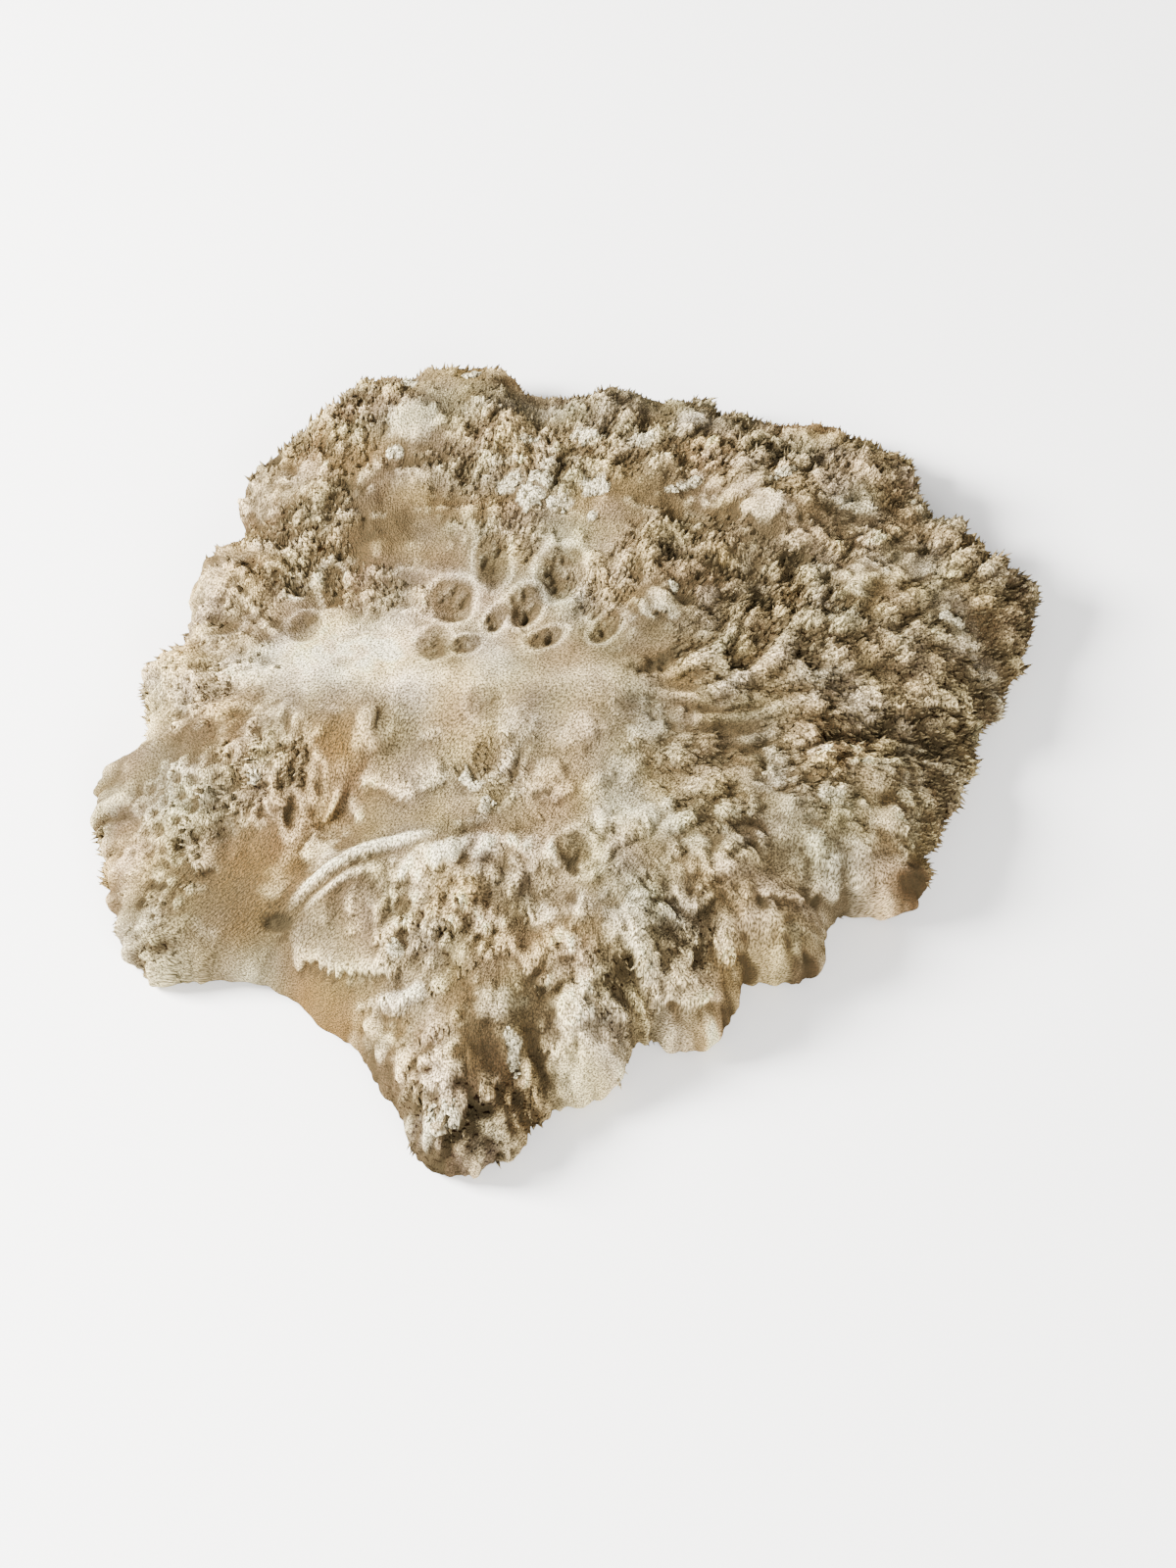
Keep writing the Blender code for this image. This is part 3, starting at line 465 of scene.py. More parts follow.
def bristling():  # 1 where the wood bristles, near 0 on smooth skin
    bristle = np.ones_like(sheetX)
    for x, y, width, strength in calm:
        bristle *= 1 - strength * np.exp(-((sheetX - x) ** 2 + (sheetY - y) ** 2) / width**2)
    bristle *= 0.85 + 0.3 * softNoise(22, 3)
    return np.clip(bristle, 0.04, 1.4)


rough = bristling()

# Overlapping teeth and fringed tufts lie along the tips' way: spacing, length, width, height in
# millimetres; fringe is the depth of the notches in the steep end, as a share of half the length.
teeth = {"spacing": 4.1, "length": 7.5, "width": 3.3, "height": 1.9, "fringe": 0.0, "seed": 11}
tufts = {"spacing": 10, "length": 16, "width": 10, "height": 2.7, "fringe": 0.3, "seed": 12}
stamped = {"x": (-198, 198), "y": (-186, 188), "rows": 0.87, "jitter": 0.45, "turn": 0.22}


def stampAt(height, x, y, way, size, kind):  # one tooth or tuft, steep at its tip
    length, width, rise = size
    at = patchAround([(x, y)], length * 0.75 + width)
    dx, dy = sheetX[at] - x, sheetY[at] - y
    along = (dx * way.real + dy * way.imag) / (length / 2)
    across = (dy * way.real - dx * way.imag) / (width / 2)
    notch = np.abs((across * width / 5 + x) % 1 - 0.5) * 2
    tip = 1 - kind["fringe"] * notch - 0.35 * kind["fringe"] * across**2
    up = np.clip((along + 1) / 1.7, 0, 1)
    drop = np.clip((tip - along) / (2.4 / length), 0, 1)
    narrow = np.clip(1 - (across / (1.1 - 0.3 * up)) ** 2, 0, 1)
    height[at] = np.maximum(height[at], rise * np.minimum(up**1.4, drop) * narrow**0.6)


def stampField(kind):  # the height in mm of all teeth or tufts together
    draw = np.random.default_rng(kind["seed"])
    height = np.zeros_like(sheetX)
    step = kind["spacing"]
    jitter = stamped["jitter"]
    for row, y in enumerate(np.arange(*stamped["y"], step * stamped["rows"])):
        for x in np.arange(*stamped["x"], step) + (row % 2) * step / 2:
            px = x + draw.uniform(-jitter, jitter) * step
            py = y + draw.uniform(-jitter, jitter) * step
            size, keep, turn = draw.uniform(0.6, 1.4), draw.random(), draw.normal(0, stamped["turn"])
            here = float(readSheet(rough, px, py))
            share = (0.25 + 0.75 * min(here, 1.2)) * draw.uniform(0.5, 1.3)
            if keep > 0.25 + 0.8 * here:
                continue
            way = complex(readSheet(tips, px, py)) * np.exp(1j * turn)
            sizes = kind["length"] * size, kind["width"] * size, kind["height"] * size * share
            stampAt(height, px, py, way / abs(way), sizes, kind)
    return height


toothHeight, tuftHeight = stampField(teeth), stampField(tufts)
print("teeth stamped")

# The sheet's layers: height in mm, dark marks (painted shade in cuts, holes, grooves, hollows and under
# edges), pale marks (mostly painted highlights on lips, rims, crests, shelves and knob tops), flaked
# places, and stains by hue.
relief, dark, pale, chip = (np.zeros_like(sheetX) for layer in range(4))
stain = {hue: np.zeros_like(sheetX) for hue in ("eye", "brown", "purple", "black", "red", "mauve")}


def raiseKnobs():  # lumps painted pale on top as a highlight, with a ragged edge painted dark as shade on the side that the tips point to
    ragged, crumbs = softNoise(2.6, 23), softNoise(2.2, 24)
    for x, y, long, short, turn, rise, knobShading in marks["knobs"]:
        at = patchAround([(x, y)], 1.7 * max(long, short))
        out = ovalDistance(at, x, y, long, short, turn) / 1.3 + 0.2 * ragged[at]
        bump = np.clip(1 - out**2, 0, 1) ** 1.2
        relief[at] += rise * bump
        # Knob tops painted pale: painted highlight.
        pale[at] = np.maximum(pale[at], 0.5 * knobShading * eased(bump, 0.1, 0.8))
        dx, dy = sheetX[at] - x, sheetY[at] - y
        ahead = (dx * tips[at].real + dy * tips[at].imag) / np.maximum(np.hypot(dx, dy), 1)
        # The ragged front edge is sunk and painted dark: painted shade.
        edge = np.exp(-(((out - 1.08) / 0.17) ** 2)) * eased(ahead, 0, 0.6)
        edge = edge * eased(crumbs[at], -1.1, 0.3)
        dark[at] = np.maximum(dark[at], 0.7 * knobShading * edge)
        relief[at] -= 0.7 * knobShading * edge


def layFibres():  # streaks along the grain, low hills, and the teeth and tufts
    streaks = combed(softNoise(2.6, 4), 5)
    ripples = combed(softNoise(6, 5), 7)
    lumps, hills = softNoise(7.5, 6), softNoise(17, 17)
    relief[:] += rough * (0.42 * streaks + 0.65 * ripples + 0.3 * lumps) + (0.3 + 0.5 * rough) * hills
    relief[:] += (0.1 + 0.12 * rough) * streaks
    share = 0.3 + 0.7 * np.clip(rough, 0, 1)
    relief[:] += share * (toothHeight + tuftHeight - tuftHeight.mean() - toothHeight.mean())


# Slits in the eyes: area in square millimetres for each, half length, half width, the lip's half
# width and how far it lies from the cut, and the direction in degrees and how much it strays.
slits = {
    "area": 16, "half": (1.6, 3.2), "wide": 0.75, "lip": 0.7, "away": 1.5, "turn": 68, "stray": 12,
    "seed": 43,
}


def cutSlits(x, y, long, short, strength, draw):  # cuts in an eye painted dark as shade, each with a lip painted pale as a highlight
    for number in range(int(2 + long * short / slits["area"])):
        reach = 0.65 * math.sqrt(draw.random()) * np.exp(2j * math.pi * draw.random())
        sx, sy = x + reach.real * long, y + reach.imag * short
        half = draw.uniform(*slits["half"])
        way = np.exp(1j * math.radians(draw.normal(slits["turn"], slits["stray"])))
        at = patchAround([(sx, sy)], half + 4)
        dx, dy = sheetX[at] - sx, sheetY[at] - sy
        along = np.abs(dx * way.real + dy * way.imag)
        across = dy * way.real - dx * way.imag
        ends = eased(along, half, 0.5 * half)
        cut = ends * np.exp(-((across / slits["wide"]) ** 2))
        lip = ends * np.exp(-(((across - slits["away"]) / slits["lip"]) ** 2))
        relief[at] += strength * (0.7 * lip - 1.3 * cut)
        dark[at] = np.maximum(dark[at], 1.35 * strength * cut)
        pale[at] = np.maximum(pale[at], 0.3 * strength * lip)


# Short notches, painted dark as shade with a lip painted pale as a highlight, stand in rows across the
# tips' way: how many rows, the most in a row, spacing, half length and half width in millimetres, where
# rows start, and the smoothest wood that has them.
notches = {
    "rows": 330, "most": 6, "apart": 3.4, "half": (1.1, 2.5), "wide": (0.6, 0.95),
    "x": (-185, 175), "y": (-180, 125), "smoothest": 0.22, "seed": 47,
}


def cutNotch(x, y, way, strength, draw):  # one cut along the way, painted dark as shade, with a lip behind it painted pale as a highlight
    half, wide = draw.uniform(*notches["half"]), draw.uniform(*notches["wide"])
    at = patchAround([(x, y)], 5)
    dx, dy = sheetX[at] - x, sheetY[at] - y
    along, across = dx * way.real + dy * way.imag, dy * way.real - dx * way.imag
    cut = np.exp(-((along / half) ** 4) - (across / wide) ** 2)
    lip = np.exp(-(((along + 1.3 * half) / half) ** 2) - (across / 1.6) ** 2)
    relief[at] += strength * (0.5 * lip - 1.3 * cut)
    dark[at] = np.maximum(dark[at], 1.35 * strength * cut)
    pale[at] = np.maximum(pale[at], 0.35 * strength * lip)


def cutNotches():  # along the front of each knob, and in rows on the open wood
    draw = np.random.default_rng(notches["seed"])
    for x, y, long, short, turn, rise, knobShading in marks["knobs"]:
        aim, lie = complex(readSheet(tips, x, y)), np.exp(1j * math.radians(turn))
        for number in range(int(2 + (long + short) / 3)):
            way = aim * np.exp(1j * draw.normal(0, 0.7))
            own = way / lie
            reach = draw.uniform(0.8, 1.35) / math.hypot(own.real / long, own.imag / short)
            slant = aim * np.exp(1j * draw.normal(0, 0.35))
            strength = draw.uniform(0.5, 1) * knobShading
            cutNotch(x + way.real * reach, y + way.imag * reach, slant, strength, draw)
    for row in range(notches["rows"]):
        x, y = draw.uniform(*notches["x"]), draw.uniform(*notches["y"])
        here, size = float(readSheet(rough, x, y)), draw.uniform(0.45, 1.1)
        aim = complex(readSheet(tips, x, y)) * np.exp(1j * draw.normal(0, 0.2))
        for number in range(draw.integers(2, notches["most"] + 1)):
            x += notches["apart"] * draw.uniform(0.75, 1.3) * aim.imag
            y -= notches["apart"] * draw.uniform(0.75, 1.3) * aim.real
            size *= draw.uniform(0.8, 1.15)
            if here > notches["smoothest"]:
                slant = aim * np.exp(1j * draw.normal(0, 0.25))
                cutNotch(x, y, slant, size * min(1, 0.4 + here), draw)


def carveEyes():  # brown hollows with a thin rim painted pale as a highlight
    draw = np.random.default_rng(slits["seed"])
    speck, wander = softNoise(1.8, 7), softNoise(6, 8)
    for x, y, long, short, turn, strength in marks["eyes"]:
        at = patchAround([(x, y)], 1.9 * max(long, short))
        out = ovalDistance(at, x, y, long, short, turn) + 0.08 * wander[at]
        bowl = np.clip(1 - out**2, 0, 1) ** 0.5
        inside = eased(out, 1.15, 0.85)
        rim = np.exp(-(((out - 1.22) / 0.17) ** 2))
        relief[at] *= 1 - 0.8 * inside
        relief[at] += strength * (0.6 * rim - 0.2 * bowl + 0.35 * inside * speck[at])
        shade = min(1, 1.2 * strength) * inside * (0.8 + 0.16 * speck[at]) * (0.7 + 0.3 * bowl)
        stain["eye"][at] = np.maximum(stain["eye"][at], shade)
        # The rim painted pale: painted highlight.
        pale[at] = np.maximum(pale[at] * (1 - inside), 0.3 * strength * rim)
        cutSlits(x, y, long, short, strength, draw)


def fillFurrows():  # low swells
    for points, width, rise in fills:
        at = patchAround(points, 3 * width)
        far = lineDistance(at, smoothPath(points))[0]
        relief[at] += rise * np.exp(-((far / width) ** 2))


def raiseFolds():  # long ridges painted pale on the crest as a highlight, with a groove along one side painted dark as shade
    for points, width, rise, groove in marks["folds"]:
        at = patchAround(points, 5 * width)
        far, side, along, total = lineDistance(at, smoothPath(points))
        ends = eased(along, 0, 0.3 * total) * eased(along, total, 0.7 * total)
        crest = ends * np.exp(-((far / width) ** 2))
        below = ends * np.exp(-(((side * groove * -far - 1.5 * width) / width) ** 2))
        relief[at] += rise * (crest - 0.4 * below)
        dark[at] = np.maximum(dark[at], 0.3 * below)
        pale[at] = np.maximum(pale[at], 0.9 * crest * min(1, rise / 3) ** 1.5)


toothSpacing = 4.4  # of the ledges, in millimetres


def raiseLedges():  # steps with a toothed edge, painted dark below it as shadow and pale on the shelf as a highlight
    waver, patchy = softNoise(7, 10), softNoise(4, 27)
    for points, length, rise, toothed in marks["ledges"]:
        at = patchAround(points, 4 * length)
        far, side, along, total = lineDistance(at, smoothPath(points))
        ends = eased(along, 0, 4) * eased(along, total, total - 4)
        notch = 0.5 + 0.5 * np.cos(along * 2 * math.pi / toothSpacing + 2.8 * waver[at])
        notch *= np.clip(0.7 + 0.4 * patchy[at], 0, 1)
        above = np.where(side > 0, far, -far) + toothed * 2.6 * notch
        shelf = eased(above, -0.6, 0.5) * np.exp(-np.clip(above, 0, None) / length)
        # Below the edge the wood is sunk and painted dark, a painted shadow; the shelf above is painted
        # pale, a painted highlight.
        shadedGap = ends * eased(above, 0.3, -0.7) * eased(above, -4.5, -1.5)
        relief[at] += ends * rise * shelf - 0.6 * shadedGap
        dark[at] = np.maximum(dark[at], 1.1 * shadedGap * (0.3 + 0.7 * notch))
        pale[at] = np.maximum(pale[at], 0.3 * ends * shelf)


def cutPits():  # ragged holes painted dark as shade, with a stain around them
    ragged, crumbs = softNoise(2.0, 9), softNoise(1.6, 21)
    for x, y, long, short, turn, strength, hue in marks["pits"]:
        at = patchAround([(x, y)], 1.9 * max(long, short))
        out = ovalDistance(at, x, y, long, short, turn) + 0.3 * ragged[at]
        hole = eased(out, 1.25, 0.6) * eased(crumbs[at] - 0.9 * out, -1.9, -0.4)
        relief[at] -= 1.5 * strength * hole
        dark[at] = np.maximum(dark[at], strength * hole)
        stain[hue][at] = np.maximum(stain[hue][at], strength * eased(out, 1.7, 0.5))


combScatter = {"x": 0.16, "y": 0.2, "size": (0.7, 1.35), "turn": 14, "seed": 31}


def sinkCombs():  # fields of hollows painted dark as shade, with thin pale walls
    draw = np.random.default_rng(combScatter["seed"])
    for x, y, wide, high, step, half, tall in combs:
        for row, oy in enumerate(np.arange(-high, high, step * tall / half * 0.5)):
            for ox in np.arange(-wide, wide, step) + row % 2 * step / 2:
                fade = 1 - (ox / wide) ** 2 - (oy / high) ** 2
                px = x + ox + draw.normal(0, combScatter["x"]) * step
                py = y + oy + draw.normal(0, combScatter["y"]) * step
                size, turn = draw.uniform(*combScatter["size"]), draw.normal(0, combScatter["turn"])
                if fade < 0.05:
                    continue
                at = patchAround([(px, py)], 3 * tall * size)
                out = ovalDistance(at, px, py, half * size, tall * size, turn)
                wall = np.exp(-(((out - 1.3) / 0.3) ** 2)) * min(1, 2 * fade)
                well = eased(out, 1.15, 0.2) * min(1, 2 * fade)
                relief[at] += 0.7 * wall - 1.5 * well
                dark[at] = np.maximum(dark[at], 0.75 * well)
                pale[at] = np.maximum(pale[at], 0.3 * wall * (1 - well))


def raiseChips():  # pale flaked places with an outline painted dark as shade
    crumbs = softNoise(2.4, 12)
    for x, y, long, short, turn, strength in marks["chips"]:
        at = patchAround([(x, y)], 2 * max(long, short))
        out = ovalDistance(at, x, y, long, short, turn) + 0.33 * crumbs[at]
        flake = eased(out, 1.15, 0.85)
        relief[at] += 1.1 * min(strength, 1) * flake
        outline = np.exp(-(((out - 1.45) / 0.28) ** 2))
        dark[at] = np.maximum(dark[at], 0.75 * min(strength, 1) * outline * (1 - flake))
        chip[at] = np.maximum(chip[at], strength * flake)


raiseKnobs()
layFibres()
fillFurrows()
cutNotches()
carveEyes()
raiseFolds()
raiseLedges()
sinkCombs()
cutPits()
raiseChips()
print("relief drawn")

shelter = np.clip(rough, 0, 1)
fineSwell = blurred(relief, 0.5) - blurred(relief, 2.2)
broadSwell = blurred(relief, 1.8) - blurred(relief, 6)
# How deep the gaps and how high the crests are, for painted shade in the gaps and a painted highlight on
# the crests; the finish draws their edges crisply.
paintedGapShade = np.maximum((0.3 + 0.7 * shelter) * np.clip(-fineSwell / 0.95, 0, 1), dark)
paintedCrestLight = (0.3 + 0.7 * shelter) * np.clip((fineSwell + 0.4 * broadSwell) / 1.5, 0, 1)
paintedCrestLight = np.maximum(paintedCrestLight, 0.8 * pale)

colours = {  # linear colours of the wood; the colour for gaps is painted shade in gaps and hollows, and the tip colour is painted highlight on tips and crests, also used for paler patches at random
    "skin": (0.178, 0.122, 0.059), "cream": (0.90, 0.745, 0.45), "tan": (0.150, 0.092, 0.033),
    "brown": (0.052, 0.032, 0.015), "grey": (0.125, 0.102, 0.066), "mauve": (0.092, 0.066, 0.050),
    "red": (0.055, 0.024, 0.011), "purple": (0.010, 0.005, 0.0045), "black": (0.005, 0.003, 0.0015),
    "chip": (0.95, 0.86, 0.58), "tip": (0.56, 0.43, 0.22), "shadedGap": (0.008, 0.003, 0.001),
    "eye": (0.054, 0.034, 0.015),
}
# Powers that spread the tones darker than the skin, for each part of the colour, and the paler ones.
contrast = {"darker": (1.32, 1.45, 1.58), "paler": 1.12}


def mixed(base, colour, share):  # the base with a share of one of the wood's colours
    share = np.clip(share, 0, 1)[..., None]
    return base * (1 - share) + np.array(colours[colour]) * share


def skinColours():  # the wood's colour over the sheet, with painted shade and painted highlight on its relief
    tone = np.ones((sheetCells, sheetCells, 3)) * colours["skin"]
    drift, patch = softNoise(16, 14), combed(softNoise(9, 15), 8)
    tone = mixed(tone, "tan", 0.45 * eased(drift, 0.1, 1.5))
    tone = mixed(tone, "grey", 0.45 * eased(-drift, 0.1, 1.5))
    tone = mixed(tone, "brown", (0.15 + 0.5 * shelter) * eased(patch, 0.2, 1.7))
    tone = mixed(tone, "tip", (0.15 + 0.3 * shelter) * eased(-patch, 0.3, 1.8))
    # Tuft tops painted paler and the wood between tufts browner: painted highlight and painted shade.
    tufted = blurred(tuftHeight, 0.5)
    tone = mixed(tone, "tip", 0.55 * eased(tufted, 0.9, 3.0))
    tone = mixed(tone, "brown", 0.4 * shelter * eased(tufted, 0.5, 0))
    warp, mottle = 0.25 * softNoise(14, 13), 0.8 + 0.16 * softNoise(3.4, 22)
    for x, y, long, short, hue, strength in marks["tints"]:
        at = patchAround([(x, y)], 2.6 * max(long, short))
        out = ovalDistance(at, x, y, long, short, 0) + warp[at]
        tone[at] = mixed(tone[at], hue, strength * mottle[at] * np.exp(-(out**2)))
    # Hollows painted towards the colour for gaps and swells towards the tip colour: painted shade and
    # painted highlight; pale marks painted cream, mostly painted highlight.
    shadedGap = np.maximum(eased(-fineSwell, 0.05, 0.75), 0.75 * eased(-broadSwell, 0.2, 1.5))
    tone = mixed(tone, "tip", 0.5 * eased(fineSwell + 0.5 * broadSwell, 0.1, 1.1))
    tone = mixed(tone, "cream", 0.8 * pale)
    for colour, share in stain.items():
        tone = mixed(tone, colour, 0.85 * share)
    # Hollows and dark marks painted towards the colour for gaps: painted shade.
    tone = mixed(tone, "shadedGap", 0.5 * np.maximum((0.3 + 0.7 * shelter) * shadedGap, dark))
    light = tone.mean(axis=2)
    tone *= np.clip(light / blurred(light, 6), 0.1, 4)[..., None] ** 0.6
    flush, sand = softNoise(12, 25), softNoise(7, 26)
    tone *= 1 + np.stack([0.05 * flush, 0 * flush, -0.05 * flush - 0.06 * sand], axis=2)
    # Whole stretches darkened or lightened: partly the wood's tone, partly painted light and shade.
    for x, y, width, factor in toneAndLightingStretches:
        near = np.exp(-((sheetX - x) ** 2 + (sheetY - y) ** 2) / width**2)
        tone *= 1 + (factor - 1) * near[..., None]
    tone /= colours["skin"]
    tone = np.where(tone < 1, tone ** contrast["darker"], tone ** contrast["paler"])
    tone = np.minimum(tone * colours["skin"], colours["chip"])
    return mixed(tone, "chip", 0.95 * chip)


skinTone = skinColours()
print("colours drawn")

# The cap's skin starts as the CAD solid's own mesh; lean is how far teeth hang over, of their height.
form = {"mergeWithin": 0.00002, "smoothing": 4, "subdivisions": 2, "lean": 0.55}


def capForm():  # the CAD mesh without its coarse prickles, as a fine even skin, open below
    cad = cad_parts["burl_cap"]
    bpy.ops.object.select_all(action="DESELECT")
    made = bpy.data.objects.new("burlSkin", cad.data.copy())
    bpy.context.collection.objects.link(made)
    bpy.context.view_layer.objects.active = made
    made.select_set(True)
    bpy.ops.object.mode_set(mode="EDIT")
    bpy.ops.mesh.select_all(action="SELECT")
    bpy.ops.mesh.remove_doubles(threshold=form["mergeWithin"])
    bpy.ops.mesh.select_mode(type="FACE")
    bpy.ops.mesh.select_all(action="DESELECT")
    bpy.ops.object.mode_set(mode="OBJECT")
    for face in made.data.polygons:
        face.select = all(made.data.vertices[v].co.z < form["mergeWithin"] for v in face.vertices)
    bpy.ops.object.mode_set(mode="EDIT")
    bpy.ops.mesh.delete(type="FACE")
    bpy.ops.mesh.select_all(action="SELECT")
    bpy.ops.mesh.tris_convert_to_quads(face_threshold=math.pi, shape_threshold=math.pi)
    bpy.ops.mesh.vertices_smooth(factor=0.5, repeat=form["smoothing"])
    bpy.ops.object.mode_set(mode="OBJECT")
    fine = made.modifiers.new("fine", "SUBSURF")
    fine.levels = fine.render_levels = form["subdivisions"]
    bpy.ops.object.modifier_apply(modifier="fine")
    return made


def readRows(mesh, kind):  # three numbers for each point of a mesh
    flat = np.empty(len(mesh.vertices) * 3)
    mesh.vertices.foreach_get(kind, flat)
    return flat.reshape(-1, 3)


def paint(mesh, name, values):  # stores a colour for each point
    made = mesh.attributes.new(name, "FLOAT_COLOR", "POINT")
    whole = np.ones((len(mesh.vertices), 4))
    whole[:, :values.shape[1]] = values
    made.data.foreach_set("color", whole.ravel())


grainTurns = 6  # the finish draws the grain along this many fixed directions and mixes them


def grainShares(way, tip):  # how much each fixed direction counts, below 0 if tips point back
    turns = np.arange(grainTurns) * math.pi / grainTurns
    share = np.abs(np.cos(np.angle(way)[:, None] - turns)) ** 14
    share *= np.sign(np.cos(np.angle(tip)[:, None] - turns))
    return share / np.sqrt((share**2).sum(axis=1, keepdims=True))


wallRelief = 0.55 * softNoise(3.2, 18) + 0.75 * softNoise(6.5, 19) + 0.5 * softNoise(14, 20)
# The sides read the sheet by the way round, at this radius, and by the height, on a sloping line.
walls = {"radius": 165, "lap": 400, "stretch": 1.1, "slope": 30, "front": (-90, 0), "shading": 0.45}


def steepness(normals):  # 1 on the steep sides, where the sheet seen from above is stretched
    return eased(np.hypot(normals[:, 0], normals[:, 1]), 0.55, 0.9)


def wallPlace(points):  # a second place on the sheet, measured along the sides and up them
    turn = np.arctan2(points[:, 1], points[:, 0])
    around = (turn * walls["radius"]) % walls["lap"] - walls["lap"] / 2
    return around, points[:, 2] * walls["stretch"] + turn * walls["slope"]


def toneAt(points, normals):  # the sheet's colours at some points; on the sides painted lighter where they stand out and darker where they sink, as painted light and shade
    x, y = points[:, 0], points[:, 1]
    shades = np.stack([readSheet(skinTone[..., c], x, y) for c in range(3)], axis=1)
    patch = steepness(normals) * (0.1 + 0.9 * eased(y, *walls["front"]))
    patch = patch * readSheet(wallRelief, *wallPlace(points))
    return shades * np.clip(1 + walls["shading"] * patch[:, None], 0.3, 1.8)


# Below this height near the rim, in millimetres, the texture's place moves outwards as the side
# goes down, so that the grain isn't stretched there.
skirt = {"height": 30, "from": 90, "to": 140, "share": 0.9}


def finishSkin(mesh, x, y, shades):  # colours and grain on a mesh, read from the sheet at x, y
    spot = readRows(mesh, "co") / mm
    out = np.maximum(np.hypot(spot[:, :1], spot[:, 1:2]), 1)
    down = np.maximum(skirt["height"] - spot[:, 2:], 0) * eased(out, skirt["from"], skirt["to"])
    paint(mesh, "spot", spot[:, :2] * (1 + skirt["share"] * down / out))
    paint(mesh, "tone", shades)
    shares = grainShares(readSheet(grain**2, x, y) ** 0.5, readSheet(tips, x, y))
    paint(mesh, "grainFirst", shares[:, :3])
    paint(mesh, "grainLast", shares[:, 3:])
    bristle = np.clip(readSheet(rough, x, y), 0, 1)
    # The marks: how bristly, how much painted shade in gaps, how much painted highlight on crests.
    marked = [bristle, readSheet(paintedGapShade, x, y), readSheet(paintedCrestLight, x, y)]
    paint(mesh, "marks", np.stack(marked, axis=1))


def makeSkin():  # the cap's form with the sheet's relief and colours on it
    made = capForm()
    mesh = made.data
    print("skin has", len(mesh.vertices), "points and", len(mesh.polygons), "faces")
    points, normals = readRows(mesh, "co") / mm, readRows(mesh, "normal")
    x, y, z = points.T.copy()
    above = eased(z, -0.4, 2.5)  # no relief at the foot
    height = readSheet(blurred(relief, 0.45), x, y) * above
    lift = readSheet(blurred(toothHeight + 0.6 * tuftHeight, 0.45), x, y) * above
    way = readSheet(tips, x, y)
    wall = steepness(normals)
    coarse = 0.2 + 0.8 * eased(y, *walls["front"])
    height += wall * above * coarse * readSheet(wallRelief, *wallPlace(points))
    for px, py, width, push in pushes:
        height += wall * above * push * np.exp(-((x - px) ** 2 + (y - py) ** 2) / width**2)
    points += normals * height[:, None]
    points[:, 0] += form["lean"] * lift * way.real
    points[:, 1] += form["lean"] * lift * way.imag
    points[:, 2] = np.where(z < 0.05, 0, np.maximum(points[:, 2], 0.1))  # the foot stays flat
    shades = toneAt(np.stack([x, y, z], axis=1), normals)
    mesh.vertices.foreach_set("co", (points * mm).ravel())
    mesh.update()
    finishSkin(mesh, x, y, shades)
    mesh.shade_smooth()
    return made


def closeBelow(made):  # fills the open ring on the floor with the sawn face
    bpy.ops.object.mode_set(mode="EDIT")
    bpy.ops.mesh.select_mode(type="EDGE")
    bpy.ops.mesh.select_all(action="DESELECT")
    bpy.ops.mesh.select_non_manifold(extend=False, use_wire=False, use_multi_face=False,
                                     use_non_contiguous=False, use_verts=False)
    bpy.ops.mesh.mark_sharp()
    bpy.ops.mesh.edge_face_add()
    bpy.ops.object.material_slot_add()
    made.active_material_index = 1
    bpy.ops.object.material_slot_assign()
    bpy.ops.object.mode_set(mode="OBJECT")
    for face in made.data.polygons:
        if len(face.vertices) > 4:
            face.use_smooth, face.material_index = False, 1


skin = makeSkin()
closeBelow(skin)
print("skin shaped")

# Single prickles stand on the skin's crests, tips along the tips' way, in millimetres.
prickle = {
    "length": 5.2, "width": 2.3, "flat": 0.6, "apart": 2.3, "most": 8000, "sunk": 0.4,
    "rise": (-6, 24), "sway": 0.25, "seed": 21,
}


def modelPrickle():  # one prickle, 1 long and 1 wide, its tip along Z
    bpy.ops.object.select_all(action="DESELECT")
    bpy.ops.mesh.primitive_circle_add(vertices=5, radius=0.5, fill_type="NGON")
    made = bpy.context.object
    bpy.ops.object.mode_set(mode="EDIT")
    bpy.ops.mesh.select_all(action="SELECT")
    bpy.ops.mesh.flip_normals()
    bpy.ops.mesh.select_mode(type="EDGE")
    for rise, shrink, shift in ((0.5, 0.74, -0.05), (0.5, 0.02, 0.12)):
        bpy.ops.mesh.extrude_edges_move(TRANSFORM_OT_translate={"value": (shift, 0, rise)})
        bpy.ops.transform.resize(value=(shrink, shrink, 1), center_override=(shift, 0, rise))
    bpy.ops.mesh.merge(type="CENTER")
    bpy.ops.mesh.select_all(action="SELECT")
    bpy.ops.mesh.normals_make_consistent(inside=False)
    bpy.ops.object.mode_set(mode="OBJECT")
    points = readRows(made.data, "co")
    faces = [tuple(face.vertices) for face in made.data.polygons]
    starts = [face.index(min(face)) for face in faces]
    faces = sorted(face[start:] + face[:start] for face, start in zip(faces, starts))
    bpy.data.objects.remove(made)
    return points, faces  # in one order, whatever the order that Blender makes them in


def spread(points, wish, apart, most, draw):  # picks points by wish, none closer than apart
    order = np.argsort(draw.random(len(points)) ** (1 / np.maximum(wish, 0.001)))[::-1]
    taken, chosen = {}, []
    cells = np.floor(points / apart).astype(int)
    for index in order:
        if wish[index] < 0.02:
            continue
        a, b, c = cells[index]
        near = (taken.get((a + i, b + j, c + k)) for i in (-1, 0, 1) for j in (-1, 0, 1)
                for k in (-1, 0, 1))
        if any(n is not None and ((points[n] - points[index]) ** 2).sum() < apart**2 for n in near):
            continue
        taken[(a, b, c)] = index
        chosen.append(index)
        if len(chosen) == most:
            break
    return np.array(chosen)


